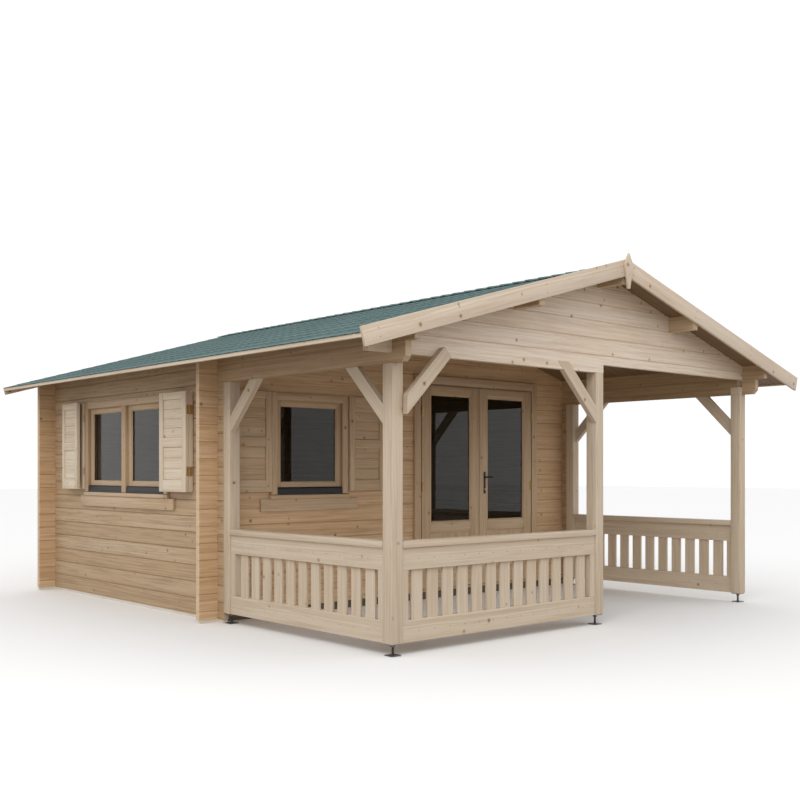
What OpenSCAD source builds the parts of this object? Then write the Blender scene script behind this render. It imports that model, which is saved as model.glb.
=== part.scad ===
// Log cabin: one square-logged room at the back and a railed open porch in front,
// both under the same low gable roof.
// X runs across the front, Y runs from the porch to the back wall, Z is up.
// The origin is on the ground under the middle of the roof.

/* [Plan] */
// Width over the side walls and the corner posts
cabin_w = 4340; // [4000:10:4800]
// Depth from the front of the porch posts to the front wall of the room
porch_d = 2130; // [2000:10:2400]
// Outside depth of the room
room_d = 3180; // [3000:10:3600]
// Length of the crossed log ends beyond a wall
stub = 165; // [120:5:200]
// Length of the side walls' log ends beyond the back wall
rear_stub = 110; // [90:5:115]

/* [Logs] */
// Thickness of a wall log
log_t = 50; // [44:2:60]
// Height of one log course
log_h = 135; // [134:0.5:136]
// Height of the side of the V joint between two logs
groove = 6; // [3:1:8]
// Level of the underside of the lowest logs
wall_base = 25; // [15:1:35]

/* [Porch] */
// Side of a square porch post
post_s = 95; // [90:1:105]
// Level of the underside of the posts, on their steel feet
post_base = 80; // [70:1:90]
// Width of the square-cut knee braces
brace_w = 92; // [80:1:100]
// Level of the underside of the handrail cap above the post ends
cap_z = 625; // [580:5:700]
// Width of a baluster
baluster_w = 100; // [80:5:110]

/* [Roof] */
// Slope of the roof in degrees
pitch = 16; // [15.5:0.1:16.5]
// Roof overhang beyond the side walls
side_over = 475; // [450:5:500]
// Distance from the front face of the bargeboard to the porch posts
front_over = 265; // [255:5:300]
// Distance from the back wall to the rear face of the roof
rear_over = 150; // [140:5:240]
// Level of the underside of the roof boards at the ridge
ridge_z = 2780; // [2760:5:2800]

/* [Windows] */
// Clear width of one window pane
pane_w = 600; // [560:5:620]
// Clear height of one window pane
pane_h = 652; // [620:2:670]
// Distance of the side window's middle from the front wall of the room
side_window_y = 1575; // [1500:5:1600]
// Distance of the porch window's middle from the middle of the cabin
porch_window_x = -1253; // [-1255:1:-1240]

/* [Door] */
// Width of one door leaf
leaf_w = 767; // [740:1:775]
// Distance of the doorway's middle from the middle of the cabin
door_x = 818; // [780:1:830]

/* [Hidden] */
$fn = 48;

// Plan
hw = cabin_w / 2;
roof_len = front_over + porch_d + room_d + rear_over;
y_end = roof_len / 2;
y_post = front_over - y_end;
y_wall = y_post + porch_d;
y_back = y_wall + room_d;
post_gap = 90;
y_rear_post = y_wall - post_gap - post_s;

// Log courses: the side walls start with a whole log, the cross walls with half a log
courses = 14;
side_joint = wall_base + log_h;
cross_joint = wall_base + log_h / 2;
plate_z = wall_base + courses * log_h;
beam_z = cross_joint + courses * log_h;
half_beam_z = beam_z + log_h / 2;

// Roof
fall = tan(pitch);
board_t = 19;
board_v = board_t / cos(pitch);
shingle_v = 8;
shingle_in = 5;
barge_t = 22;
barge_d = 125;
barge_rise = 59;
eave_t = 20;
finial_t = 20;
eave_h = 34;
fascia_d = 70;
barge_x = hw + side_over;
eave_x = barge_x - 15;
board_x = eave_x - eave_t;
inner_end = y_end - barge_t;
purlin_x = 970;
purlin_w = 60;
purlin_h = 120;
ridge_h = 130;
plate_nose = 130;
upper_nose = 218;
beam_nose = 205;
nose_cut = 35;
roof_gap = 0.2;

// Knee braces
front_brace_z = beam_z - 398;
side_brace_z = plate_z - 400;
brace_lap = 62;
brace_t = 45;
brace_proud = 5;

// Window parts
sash_w = 55;
sash_h = 50;
frame_t = 28;
mullion = 76;
trim_over = 28;
trim_w = 62;
trim_t = 25;
pane_z = post_base + 1030;
sash_z = pane_z - sash_h;
hole_z = sash_z - frame_t;
hole_top = pane_z + pane_h + sash_h + frame_t;
sash_full = pane_w + 2 * sash_w;
porch_hole = sash_full + 2 * frame_t;
side_hole = 2 * sash_full + mullion + 2 * frame_t;
sill_z = sash_z - 87;
sill_t = 39;
sill_out = 34;
sill_over = 12;
apron_h = 100;
apron_over = 100;
apron_set = 3;
strip_h = 61;
strip_t = 20;
sash_t = 40;
sash_y = 6;
glass_t = 16;
porch_trim = porch_hole / 2 + trim_over;
side_trim = side_hole / 2 + trim_over;
side_sash_x = (sash_full + mullion) / 2;

// Shutters: leaf size, and the hinge line in front of the trim
shutter_t = 35;
shutter_z = post_base + 955;
shutter_h = 835;
shutter_stile = 58;
shutter_gap = 5;
hinge_out = trim_t + 10;
fold_swing = 4;
porch_leaf = porch_trim - 8;
fold_leaf = side_trim / 2 - 5;

// Door parts
door_gap = 5;
meet_gap = 8;
jamb_t = 40;
door_in = leaf_w + meet_gap / 2 + door_gap;
door_out = door_in + jamb_t;
door_z = 95;
door_top = 2025;
frame_z = 62;
head_z = door_top + door_gap;
door_t = 40;
door_y = -22;
stile_w = 116;
door_rail = 85;
mid_rail_z = 625;
door_glass_z = 720;
foot_rail = 150;
door_trim_w = 78;
threshold_t = 28;
trim_back = 9;
door_hinge_x = door_in - door_gap / 2;
door_hinge_y = 30;

// Railing parts
rail_inset = 10;
rail_t = 18;
rail_h = 147;
cap_t = 45;
cap_out = 5;
end_stile = 58;

// Floor and bearers
bearer_w = 42;
joist_s = 45;
floor_t = 19;
floor_play = 4;
base_strip_h = 62;
base_strip_t = 14;

function under(x) = ridge_z - abs(x) * fall;

// Outline of a log wall across its thickness, with a V joint at each course
function joints(z0, z1, first) =
    [for (z = [first : log_h : z1 - groove - 1]) if (z > z0 + groove) z];
function rising(js) = [for (j = js) each [[0, j - groove], [groove, j], [0, j + groove]]];
function falling(js) = [for (i = [len(js) - 1 : -1 : 0])
    each [[log_t, js[i] + groove], [log_t - groove, js[i]], [log_t, js[i] - groove]]];
function outline(z0, z1, first) = let (js = joints(z0, z1, first))
    concat([[0, z0]], rising(js), [[0, z1], [log_t, z1]], falling(js), [[log_t, z0]]);

// Log wall along X, its outer face at y, and along Y, its left face at x
module cross_logs(x0, x1, y, z0, z1, first = cross_joint) {
    translate([x0, y, 0]) rotate([90, 0, 90])
        linear_extrude(x1 - x0) polygon(outline(z0, z1, first));
}
module side_logs(x, y0, y1, z0, z1, first = side_joint) {
    translate([x, y1, 0]) rotate([90, 0, 0])
        linear_extrude(y1 - y0) polygon(outline(z0, z1, first));
}

// Box from two opposite corners
module block(a, b) {
    translate(a) cube(b - a);
}

// Space under the roof boards, a little clear of them
module under_roof() {
    translate([0, y_end, 0]) rotate([90, 0, 0]) linear_extrude(roof_len)
        polygon([[-barge_x, 0], [barge_x, 0], [barge_x, under(barge_x) - roof_gap],
            [0, ridge_z - roof_gap], [-barge_x, under(barge_x) - roof_gap]]);
}

module purlin_slots() {
    block([-purlin_w / 2, -y_end, ridge_z - ridge_h], [purlin_w / 2, y_end, ridge_z + 1]);
    for (s = [-1, 1])
        block([s * purlin_x - purlin_w / 2, -y_end, under(purlin_x) - purlin_h],
            [s * purlin_x + purlin_w / 2, y_end, ridge_z]);
}

module both() {
    children();
    mirror([1, 0, 0]) children();
}

// ---- Room walls

module side_wall(cut_window) {
    color("burlywood") difference() {
        union() {
            side_logs(-hw, y_wall + log_t, y_back - log_t, wall_base, under(hw) + log_t);
            side_logs(-hw, y_wall - post_gap, y_wall, wall_base, plate_z);
            side_logs(-hw, y_back, y_back + rear_stub, wall_base, under(hw) + log_t);
        }
        above_roof();
        if (cut_window)
            block([-hw - 1, y_wall + side_window_y - side_hole / 2, hole_z],
                [-hw + log_t + 1, y_wall + side_window_y + side_hole / 2, hole_top]);
    }
}

module above_roof() {
    difference() {
        block([-barge_x, -y_end, plate_z + 1], [barge_x, y_end, ridge_z + log_h]);
        under_roof();
    }
}

module left_wall() {
    side_wall(true);
}

module right_wall() {
    mirror([1, 0, 0]) side_wall(false);
}

module back_wall() {
    color("burlywood") difference() {
        cross_logs(-hw - stub, hw + stub, y_back - log_t, wall_base, ridge_z + log_h);
        above_roof();
        purlin_slots();
    }
}

module front_wall_left() {
    color("burlywood") difference() {
        cross_logs(-hw - stub, door_x - door_out, y_wall, wall_base, beam_z);
        block([porch_window_x - porch_hole / 2, y_wall - 1, hole_z],
            [porch_window_x + porch_hole / 2, y_wall + log_t + 1, hole_top]);
    }
}

module front_wall_right() {
    color("burlywood")
        cross_logs(door_x + door_out, hw + stub, y_wall, wall_base, beam_z);
}

module front_wall_gable() {
    color("burlywood") difference() {
        cross_logs(-hw - stub, hw + stub, y_wall, beam_z, ridge_z + log_h);
        above_roof();
        purlin_slots();
        block([door_x - door_out, y_wall - 1, beam_z - 1],
            [door_x + door_out, y_wall + log_t + 1, head_z + jamb_t]);
    }
}

// ---- Porch frame

module porch_gable() {
    step_x = post_s / 2;
    color("burlywood") difference() {
        cross_logs(-hw - beam_nose, hw + beam_nose, y_post, beam_z, ridge_z + log_h);
        above_roof();
        purlin_slots();
        block([step_x, y_post - 1, beam_z - 1], [barge_x, y_post + log_t + 1, half_beam_z]);
        front_brace_shapes();
    }
}

// Log plate on the porch side, from the room to the front, stepped out under the gable
module side_plate() {
    color("burlywood") difference() {
        union() {
            side_logs(-hw, y_post - plate_nose, y_wall, plate_z, plate_z + log_h);
            side_logs(-hw, y_post - upper_nose, y_wall, plate_z + log_h, under(hw) + log_t);
        }
        above_roof();
        block([-barge_x, y_post, beam_z], [barge_x, y_post + log_t, ridge_z]);
        translate([-hw, y_post - plate_nose, plate_z]) rotate([45, 0, 0])
            cube([3 * log_t, nose_cut * sqrt(2), nose_cut * sqrt(2)], center = true);
        side_brace_shapes();
    }
}

module left_plate() {
    side_plate();
}

module right_plate() {
    mirror([1, 0, 0]) side_plate();
}

module post(x, y, top) {
    translate([x, y, post_base]) cube([post_s, post_s, top - post_base]);
}

module front_left_post() {
    color("wheat") difference() {
        post(-hw, y_post, beam_z);
        block([-hw - 1, y_post - 1, plate_z], [-hw + log_t, y_post + post_s + 1, beam_z + 1]);
    }
}

module front_middle_post() {
    color("wheat") post(-post_s / 2, y_post, beam_z);
}

module front_right_post() {
    mirror([1, 0, 0]) front_left_post();
}

module rear_left_post() {
    color("wheat") post(-hw, y_rear_post, plate_z);
}

module rear_right_post() {
    mirror([1, 0, 0]) rear_left_post();
}

// Adjustable foot: base plate, threaded rod with a nut, and the plate under the post
module foot(x, y) {
    foot_plate = 80;
    plate_thick = 6;
    rod_d = 20;
    nut_h = 16;
    nut_d = 34;
    translate([x, y, plate_thick / 2]) cube([foot_plate, foot_plate, plate_thick], center = true);
    translate([x, y, 0]) cylinder(d = rod_d, h = post_base);
    translate([x, y, post_base - plate_thick - nut_h]) cylinder(d = nut_d, h = nut_h, $fn = 6);
    translate([x, y, post_base - plate_thick / 2])
        cube([foot_plate, foot_plate, plate_thick], center = true);
}

module post_feet() {
    color("dimgray") {
        both() {
            foot(-hw + post_s / 2, y_post + post_s / 2);
            foot(-hw + post_s / 2, y_rear_post + post_s / 2);
        }
        foot(0, y_post + post_s / 2);
    }
}

// Knee brace in its own plane: its lower end at height z on the post at u = 0,
// its upper end cut level at lap above top
module brace_outline(z, top, lap) {
    rise = brace_w / cos(45);
    polygon([[0, z], [top + lap - z, top + lap], [top + lap - z - rise, top + lap], [0, z + rise]]);
}

module front_brace_shapes() {
    translate([-hw + post_s, y_post + brace_t - brace_proud, 0]) rotate([90, 0, 0])
        linear_extrude(brace_t) difference() {
            brace_outline(front_brace_z, beam_z, brace_lap);
            translate([beam_z - front_brace_z, beam_z]) rotate([0, 0, 45])
                square([2 * brace_w, brace_w]);
        }
    translate([-post_s / 2, y_post + brace_t - brace_proud, 0]) rotate([90, 0, 0])
        linear_extrude(brace_t) mirror([1, 0]) brace_outline(front_brace_z, beam_z, brace_lap);
}

module front_braces() {
    color("wheat") front_brace_shapes();
}

module side_brace_shapes() {
    brace_x = -hw + brace_proud;
    translate([brace_x, y_post + post_s, 0]) rotate([90, 0, 90])
        linear_extrude(brace_t) brace_outline(side_brace_z, plate_z, 0);
    translate([brace_x, y_rear_post, 0]) rotate([90, 0, 90])
        linear_extrude(brace_t) mirror([1, 0]) brace_outline(side_brace_z, plate_z, 0);
}

module side_braces() {
    color("wheat") both() side_brace_shapes();
}

// ---- Railings

// Railing panel along X from 0 to run, its outer face towards -Y at y = 0
module railing(run) {
    inner = run - 2 * end_stile;
    count = floor((inner + baluster_w / 2) / (1.5 * baluster_w));
    gap = (inner - count * baluster_w) / (count + 1);
    deep = 3 * rail_t;
    for (y = [rail_inset, rail_inset + 2 * rail_t]) {
        block([0, y, 0], [run, y + rail_t, rail_h]);
        block([0, y, cap_z - rail_h], [run, y + rail_t, cap_z]);
    }
    for (x = [0, run - end_stile])
        block([x, rail_inset, 0], [x + end_stile, rail_inset + deep, cap_z]);
    for (i = [0 : count - 1])
        translate([end_stile + gap + i * (baluster_w + gap), rail_inset + rail_t, 0])
            cube([baluster_w, rail_t, cap_z]);
    block([0, -cap_out, cap_z], [run, post_s, cap_z + cap_t]);
}

module left_railing() {
    run = y_rear_post - y_post - post_s;
    color("wheat") translate([-hw, y_rear_post, post_base]) rotate([0, 0, -90]) railing(run);
}

module right_railing() {
    mirror([1, 0, 0]) left_railing();
}

module front_railing() {
    color("wheat") translate([-hw + post_s, y_post, post_base])
        railing(hw - 1.5 * post_s);
}

// ---- Roof

module ridge_purlin() {
    color("burlywood") intersection() {
        block([-purlin_w / 2, -inner_end, ridge_z - ridge_h], [purlin_w / 2, inner_end, ridge_z]);
        under_roof();
    }
}

module middle_purlins() {
    color("burlywood") intersection() {
        both() block([purlin_x - purlin_w / 2, -inner_end, under(purlin_x) - purlin_h],
            [purlin_x + purlin_w / 2, inner_end, ridge_z]);
        under_roof();
    }
}

// Sloping sheet on the left from x0 in to the ridge, from lift to lift + thick above the boards
module roof_sheet(x0, lift, thick) {
    translate([0, inner_end, 0]) rotate([90, 0, 0]) linear_extrude(2 * inner_end)
        polygon([[0, ridge_z + lift], [-x0, under(x0) + lift],
            [-x0, under(x0) + lift + thick], [0, ridge_z + lift + thick]]);
}

module left_roof_boards() {
    color("burlywood") roof_sheet(board_x, 0, board_v);
}

module right_roof_boards() {
    mirror([1, 0, 0]) left_roof_boards();
}

module left_shingles() {
    color("teal") roof_sheet(barge_x - shingle_in, board_v, shingle_v);
}

module right_shingles() {
    mirror([1, 0, 0]) left_shingles();
}

// Pair of boards along the slopes: apex at height top, depth square to the slope, out to x
module gable_boards(top, depth, x) {
    deep = depth / cos(pitch);
    end_x = x - depth * sin(pitch);
    both() rotate([90, 0, 0]) linear_extrude(barge_t)
        polygon([[0, top], [0, top - deep], [end_x, top - deep - end_x * fall],
            [x, top - x * fall]]);
}

module front_bargeboards() {
    color("wheat") translate([0, -y_end + barge_t, 0])
        gable_boards(ridge_z + barge_rise, barge_d, barge_x);
}

module rear_fascia() {
    color("wheat") translate([0, y_end, 0])
        gable_boards(ridge_z + board_v, fascia_d, eave_x);
}

module eave_boards() {
    top = under(board_x) + board_v;
    color("wheat") both()
        block([board_x, -inner_end, top - eave_h], [eave_x, inner_end, top - eave_t * fall]);
}

// Lozenge board over the joint of the front bargeboards
module finial() {
    tip_z = ridge_z + 103;
    wide_z = tip_z - 85;
    foot_z = tip_z - 275;
    half = 51;
    half_foot = 12;
    color("wheat") translate([0, -y_end, 0]) rotate([90, 0, 0]) linear_extrude(finial_t)
        polygon([[0, tip_z], [-half, wide_z], [-half_foot, foot_z], [half_foot, foot_z],
            [half, wide_z]]);
}

// ---- Windows, drawn facing -Y with the wall face at y = 0 and their middle at x = 0

module window_frame(hole_w, middle_post) {
    half = hole_w / 2;
    trim = half + trim_over;
    difference() {
        union() {
            block([-half, 0, hole_z], [half, log_t, hole_top]);
            block([-trim, -trim_t, sill_z + sill_t], [trim, 0, hole_top + trim_over]);
        }
        block([-half + frame_t, -1, hole_z + frame_t],
            [half - frame_t, log_t + 1, hole_top - frame_t]);
        block([-trim + trim_w, -trim_t - 1, sill_z + sill_t - 1],
            [trim - trim_w, 0, hole_top + trim_over - trim_w]);
    }
    if (middle_post) {
        block([-mullion / 2, -trim_t, sill_z + sill_t], [mullion / 2, 0, hole_top - frame_t]);
        block([-mullion / 2, 0, hole_z], [mullion / 2, log_t, hole_top - frame_t]);
    }
    block([-trim - sill_over, -sill_out, sill_z], [trim + sill_over, 0, sill_z + sill_t]);
    block([-trim - apron_over, -trim_t + apron_set, sill_z - apron_h],
        [trim + apron_over, 0, sill_z]);
}

module sash(x) {
    translate([x, sash_y, sash_z]) difference() {
        block([-sash_full / 2, 0, 0], [sash_full / 2, sash_t, pane_h + 2 * sash_h]);
        block([-pane_w / 2, -1, sash_h], [pane_w / 2, sash_t + 1, sash_h + pane_h]);
    }
}

module pane(x) {
    translate([x, sash_y + (sash_t - glass_t) / 2, pane_z])
        block([-pane_w / 2, 0, 0], [pane_w / 2, glass_t, pane_h]);
}

module strip(x0, x1) {
    block([x0, -strip_t, sill_z + sill_t], [x1, 0, sill_z + sill_t + strip_h]);
}

module on_side() {
    translate([-hw, y_wall + side_window_y, 0]) rotate([0, 0, -90]) children();
}

module on_porch() {
    translate([porch_window_x, y_wall, 0]) children();
}

module side_window_frame() {
    color("wheat") on_side() window_frame(side_hole, true);
}

module porch_window_frame() {
    color("wheat") on_porch() window_frame(porch_hole, false);
}

module window_sashes() {
    color("burlywood") {
        on_side() for (s = [-1, 1]) sash(s * side_sash_x);
        on_porch() sash(0);
    }
}

module window_glass() {
    color("slategray") {
        on_side() for (s = [-1, 1]) pane(s * side_sash_x);
        on_porch() pane(0);
    }
}

module drip_strips() {
    inner_side = side_trim - trim_w;
    inner_porch = porch_trim - trim_w;
    color("black") {
        on_side() for (s = [0, 1]) mirror([s, 0, 0]) strip(mullion / 2, inner_side);
        on_porch() strip(-inner_porch, inner_porch);
    }
}

// Framed shutter leaf from x = 0 to w, two boarded panels
module shutter(w) {
    recess = 10;
    low_rail = 100;
    top_rail = 62;
    mid_z = 375;
    mid_rail = 80;
    difference() {
        block([0, 0, 0], [w, shutter_t, shutter_h]);
        for (y = [-1, shutter_t - recess]) {
            block([shutter_stile, y, low_rail], [w - shutter_stile, y + recess + 1, mid_z]);
            block([shutter_stile, y, mid_z + mid_rail],
                [w - shutter_stile, y + recess + 1, shutter_h - top_rail]);
        }
    }
}

// Hinge barrels on the line that a leaf turns about, at two heights
module barrels(x) {
    barrel_d = 9;
    barrel_h = 70;
    feet = [135, 648];
    for (z = feet)
        translate([x, -hinge_out, shutter_z + z]) cylinder(d = barrel_d, h = barrel_h);
}

// Open shutter beside the trim, to the right: its leaf runs from the hinge line outwards
module open_shutter(trim, w) {
    translate([trim + shutter_gap, -shutter_t - shutter_gap, shutter_z]) shutter(w);
    barrels(trim + shutter_gap / 2);
}

// Folded pair of leaves beside the trim, the outer leaf standing slightly open
module folded_shutter(trim) {
    leaf_in = 2;
    open_shutter(trim, fold_leaf);
    translate([trim + shutter_gap + fold_leaf, -shutter_t - shutter_gap - leaf_in, shutter_z])
        rotate([0, 0, fold_swing]) translate([-fold_leaf, -shutter_t, 0]) shutter(fold_leaf);
}

module side_shutter_front() {
    color("wheat") on_side() folded_shutter(side_trim);
}

module side_shutter_rear() {
    color("wheat") on_side() mirror([1, 0, 0]) folded_shutter(side_trim);
}

module porch_shutter_left() {
    color("wheat") on_porch() mirror([1, 0, 0]) open_shutter(porch_trim, porch_leaf);
}

module porch_shutter_right() {
    color("wheat") on_porch() open_shutter(porch_trim, porch_leaf);
}

// ---- Door, drawn with the wall face at y = 0 and the doorway's middle at x = 0

module on_door() {
    translate([door_x, y_wall, 0]) children();
}

module door_frame() {
    trim_in = door_in + trim_back;
    trim_out = trim_in + door_trim_w;
    color("wheat") on_door() {
        difference() {
            block([-door_out, 0, frame_z], [door_out, log_t, head_z + jamb_t]);
            block([-door_in, -1, frame_z + threshold_t], [door_in, log_t + 1, head_z]);
        }
        difference() {
            block([-trim_out, -trim_t, base_strip_h],
                [trim_out, 0, head_z + trim_back + door_trim_w]);
            block([-trim_in, -trim_t - 1, 0], [trim_in, 1, head_z + trim_back]);
        }
    }
}

// Right-hand leaf from the meeting line to its three hinges
module leaf() {
    high = door_top - door_z;
    recess = 12;
    barrel_d = 14;
    barrel_h = 90;
    flap_t = 3;
    flap_w = 30;
    feet = [300, 1015, 1730];
    for (z = feet) {
        translate([door_hinge_x, -door_hinge_y, z]) cylinder(d = barrel_d, h = barrel_h);
        block([door_hinge_x - flap_w, door_y - flap_t, z], [door_hinge_x, door_y, z + barrel_h]);
    }
    translate([meet_gap / 2, door_y, door_z]) difference() {
        block([0, 0, 0], [leaf_w, door_t, high]);
        block([stile_w, -1, door_glass_z - door_z],
            [leaf_w - stile_w, door_t + 1, high - door_rail]);
        for (y = [-1, door_t - recess])
            block([stile_w, y, foot_rail],
                [leaf_w - stile_w, y + recess + 1, mid_rail_z - door_z]);
    }
}

module leaf_glass() {
    translate([meet_gap / 2 + stile_w, door_y + (door_t - glass_t) / 2, door_glass_z])
        cube([leaf_w - 2 * stile_w, glass_t, door_top - door_rail - door_glass_z]);
}

module right_door() {
    color("wheat") on_door() leaf();
}

module left_door() {
    color("wheat") on_door() mirror([1, 0, 0]) leaf();
}

module right_door_glass() {
    color("slategray") on_door() leaf_glass();
}

module left_door_glass() {
    color("slategray") on_door() mirror([1, 0, 0]) leaf_glass();
}

// Long plate with a lever and a lock cylinder, outside and inside
module handle_side() {
    plate_w = 26;
    plate_h = 220;
    plate_t = 5;
    neck_d = 16;
    neck = 34;
    lever_z = 165;
    lever = 95;
    lever_t = 12;
    lock_z = 45;
    lock_d = 17;
    lock = 8;
    translate([-plate_w / 2, -plate_t, 0]) cube([plate_w, plate_t, plate_h]);
    translate([0, -plate_t, lever_z]) rotate([90, 0, 0]) cylinder(d = neck_d, h = neck);
    translate([-neck_d / 2, -plate_t - neck, lever_z - neck_d / 2])
        cube([lever, lever_t, neck_d]);
    translate([0, -plate_t, lock_z]) rotate([90, 0, 0]) cylinder(d = lock_d, h = lock);
}

module door_handle() {
    handle_x = 76;
    handle_z = post_base + 903;
    color("dimgray") on_door() translate([handle_x, door_y, handle_z]) {
        handle_side();
        translate([0, door_t, 0]) mirror([0, 1, 0]) handle_side();
    }
}

// ---- Floor

module floor_boards() {
    edge = log_t + floor_play;
    color("tan") block([-hw + edge, y_wall + edge, joist_s],
        [hw - edge, y_back - edge, joist_s + floor_t]);
}

module bearers() {
    side_in = (log_t - bearer_w) / 2;
    end_in = 8;
    joists = 6;
    joist_in = 40;
    spacing = (room_d - 2 * log_t - 2 * joist_in - joist_s) / (joists - 1);
    color("darkolivegreen") {
        block([-hw - stub + end_in, y_back - log_t + side_in, 0],
            [hw + stub - end_in, y_back - side_in, wall_base]);
        both() {
            block([-hw - stub + end_in, y_wall + side_in, 0],
                [-hw + log_t, y_wall + log_t - side_in, wall_base]);
            block([-hw + side_in, y_wall - post_gap + end_in, 0],
                [-hw + side_in + bearer_w, y_back + rear_stub - end_in, wall_base]);
        }
        block([-hw + log_t - 1, y_wall + side_in, 0],
            [hw - log_t + 1, y_wall + log_t - side_in, wall_base]);
        block([-hw + log_t, y_wall - base_strip_t, 0], [hw - log_t, y_wall, base_strip_h]);
        block([door_x - door_out, y_wall - base_strip_t, 0],
            [door_x + door_out, y_wall + log_t, base_strip_h]);
        for (i = [0 : joists - 1]) translate([0, y_wall + log_t + joist_in + i * spacing, 0]) {
            block([-hw + log_t - side_in - 1, 0, 0], [hw - log_t + side_in + 1, joist_s, wall_base]);
            block([-hw + log_t, 0, 0], [hw - log_t, joist_s, joist_s]);
        }
    }
}

left_wall();
right_wall();
back_wall();
front_wall_left();
front_wall_right();
front_wall_gable();
porch_gable();
left_plate();
right_plate();
front_left_post();
front_middle_post();
front_right_post();
rear_left_post();
rear_right_post();
post_feet();
front_braces();
side_braces();
left_railing();
front_railing();
right_railing();
ridge_purlin();
middle_purlins();
left_roof_boards();
right_roof_boards();
left_shingles();
right_shingles();
front_bargeboards();
rear_fascia();
eave_boards();
finial();
door_frame();
left_door();
right_door();
left_door_glass();
right_door_glass();
door_handle();
side_window_frame();
porch_window_frame();
window_sashes();
window_glass();
drip_strips();
side_shutter_rear();
side_shutter_front();
porch_shutter_left();
porch_shutter_right();
floor_boards();
bearers();
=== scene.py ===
import bpy
import bmesh
import math
import random
from mathutils import Matrix, Vector


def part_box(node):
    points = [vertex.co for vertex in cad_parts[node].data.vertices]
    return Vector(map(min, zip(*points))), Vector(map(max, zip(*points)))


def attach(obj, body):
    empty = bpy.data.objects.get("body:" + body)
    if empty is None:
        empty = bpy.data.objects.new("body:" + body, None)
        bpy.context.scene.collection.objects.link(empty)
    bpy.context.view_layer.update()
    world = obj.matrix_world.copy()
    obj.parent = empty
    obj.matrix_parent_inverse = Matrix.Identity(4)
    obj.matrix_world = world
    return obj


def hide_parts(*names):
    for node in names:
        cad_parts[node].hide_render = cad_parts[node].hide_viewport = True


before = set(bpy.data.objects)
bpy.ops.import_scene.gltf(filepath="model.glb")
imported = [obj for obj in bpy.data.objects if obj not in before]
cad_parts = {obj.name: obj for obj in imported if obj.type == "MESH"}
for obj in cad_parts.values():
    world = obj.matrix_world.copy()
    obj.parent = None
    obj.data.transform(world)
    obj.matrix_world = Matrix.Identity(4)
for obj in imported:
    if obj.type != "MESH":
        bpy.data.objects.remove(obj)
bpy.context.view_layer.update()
print("frame loaded")

# Measures of the whole cabin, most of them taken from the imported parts
cabin = {
    "halfWidth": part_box("rear_right_post")[1].x,
    "postFront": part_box("front_left_post")[0].y,
    "wallFront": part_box("front_wall_left")[0].y,
    "postFoot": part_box("front_left_post")[0].z,
    "plateFoot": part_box("rear_left_post")[1].z,
    "beamFoot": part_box("front_left_post")[1].z,
    "slope": math.radians(16),
    "roofBoard": 0.019,
    "course": 0.135,
    "sideJoint": 0.160,     # height of a joint in the side walls
    "crossJoint": 0.0925,   # and in the front and back walls, half a course lower
}
cabin["ridge"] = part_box("left_roof_boards")[1].z - cabin["roofBoard"] / math.cos(cabin["slope"])


# ---- Finishes

class Wire:  # an output that takes part in sums
    def __init__(self, finish, socket):
        self.finish = finish
        self.socket = socket

    def sum(self, operation, *terms):
        return self.finish.node("ShaderNodeMath", {"operation": operation}, dict(enumerate(terms)))

    def __add__(self, other):
        return self.sum("ADD", self, other)

    __radd__ = __add__

    def __mul__(self, other):
        return self.sum("MULTIPLY", self, other)

    __rmul__ = __mul__

    def __sub__(self, other):
        return self.sum("SUBTRACT", self, other)

    def __rsub__(self, other):
        return self.sum("SUBTRACT", other, self)

    def __truediv__(self, other):
        return self.sum("DIVIDE", self, other)

    def above(self, level):
        return self.sum("GREATER_THAN", self, level)

    def below(self, level):
        return self.sum("LESS_THAN", self, level)

    def whole(self):
        return self.sum("FLOOR", self)

    def rest(self):
        return self.sum("FRACT", self)

    def size(self):
        return self.sum("ABSOLUTE", self)

    def most(self, other):
        return self.sum("MAXIMUM", self, other)

    def root(self):
        return self.sum("SQRT", self.most(0.0))

    def fade(self, low, high):  # 0 at low, 1 at high, smooth between
        return self.finish.node(
            "ShaderNodeMapRange", {"interpolation_type": "SMOOTHSTEP"},
            {"Value": self, "From Min": low, "From Max": high})


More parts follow.
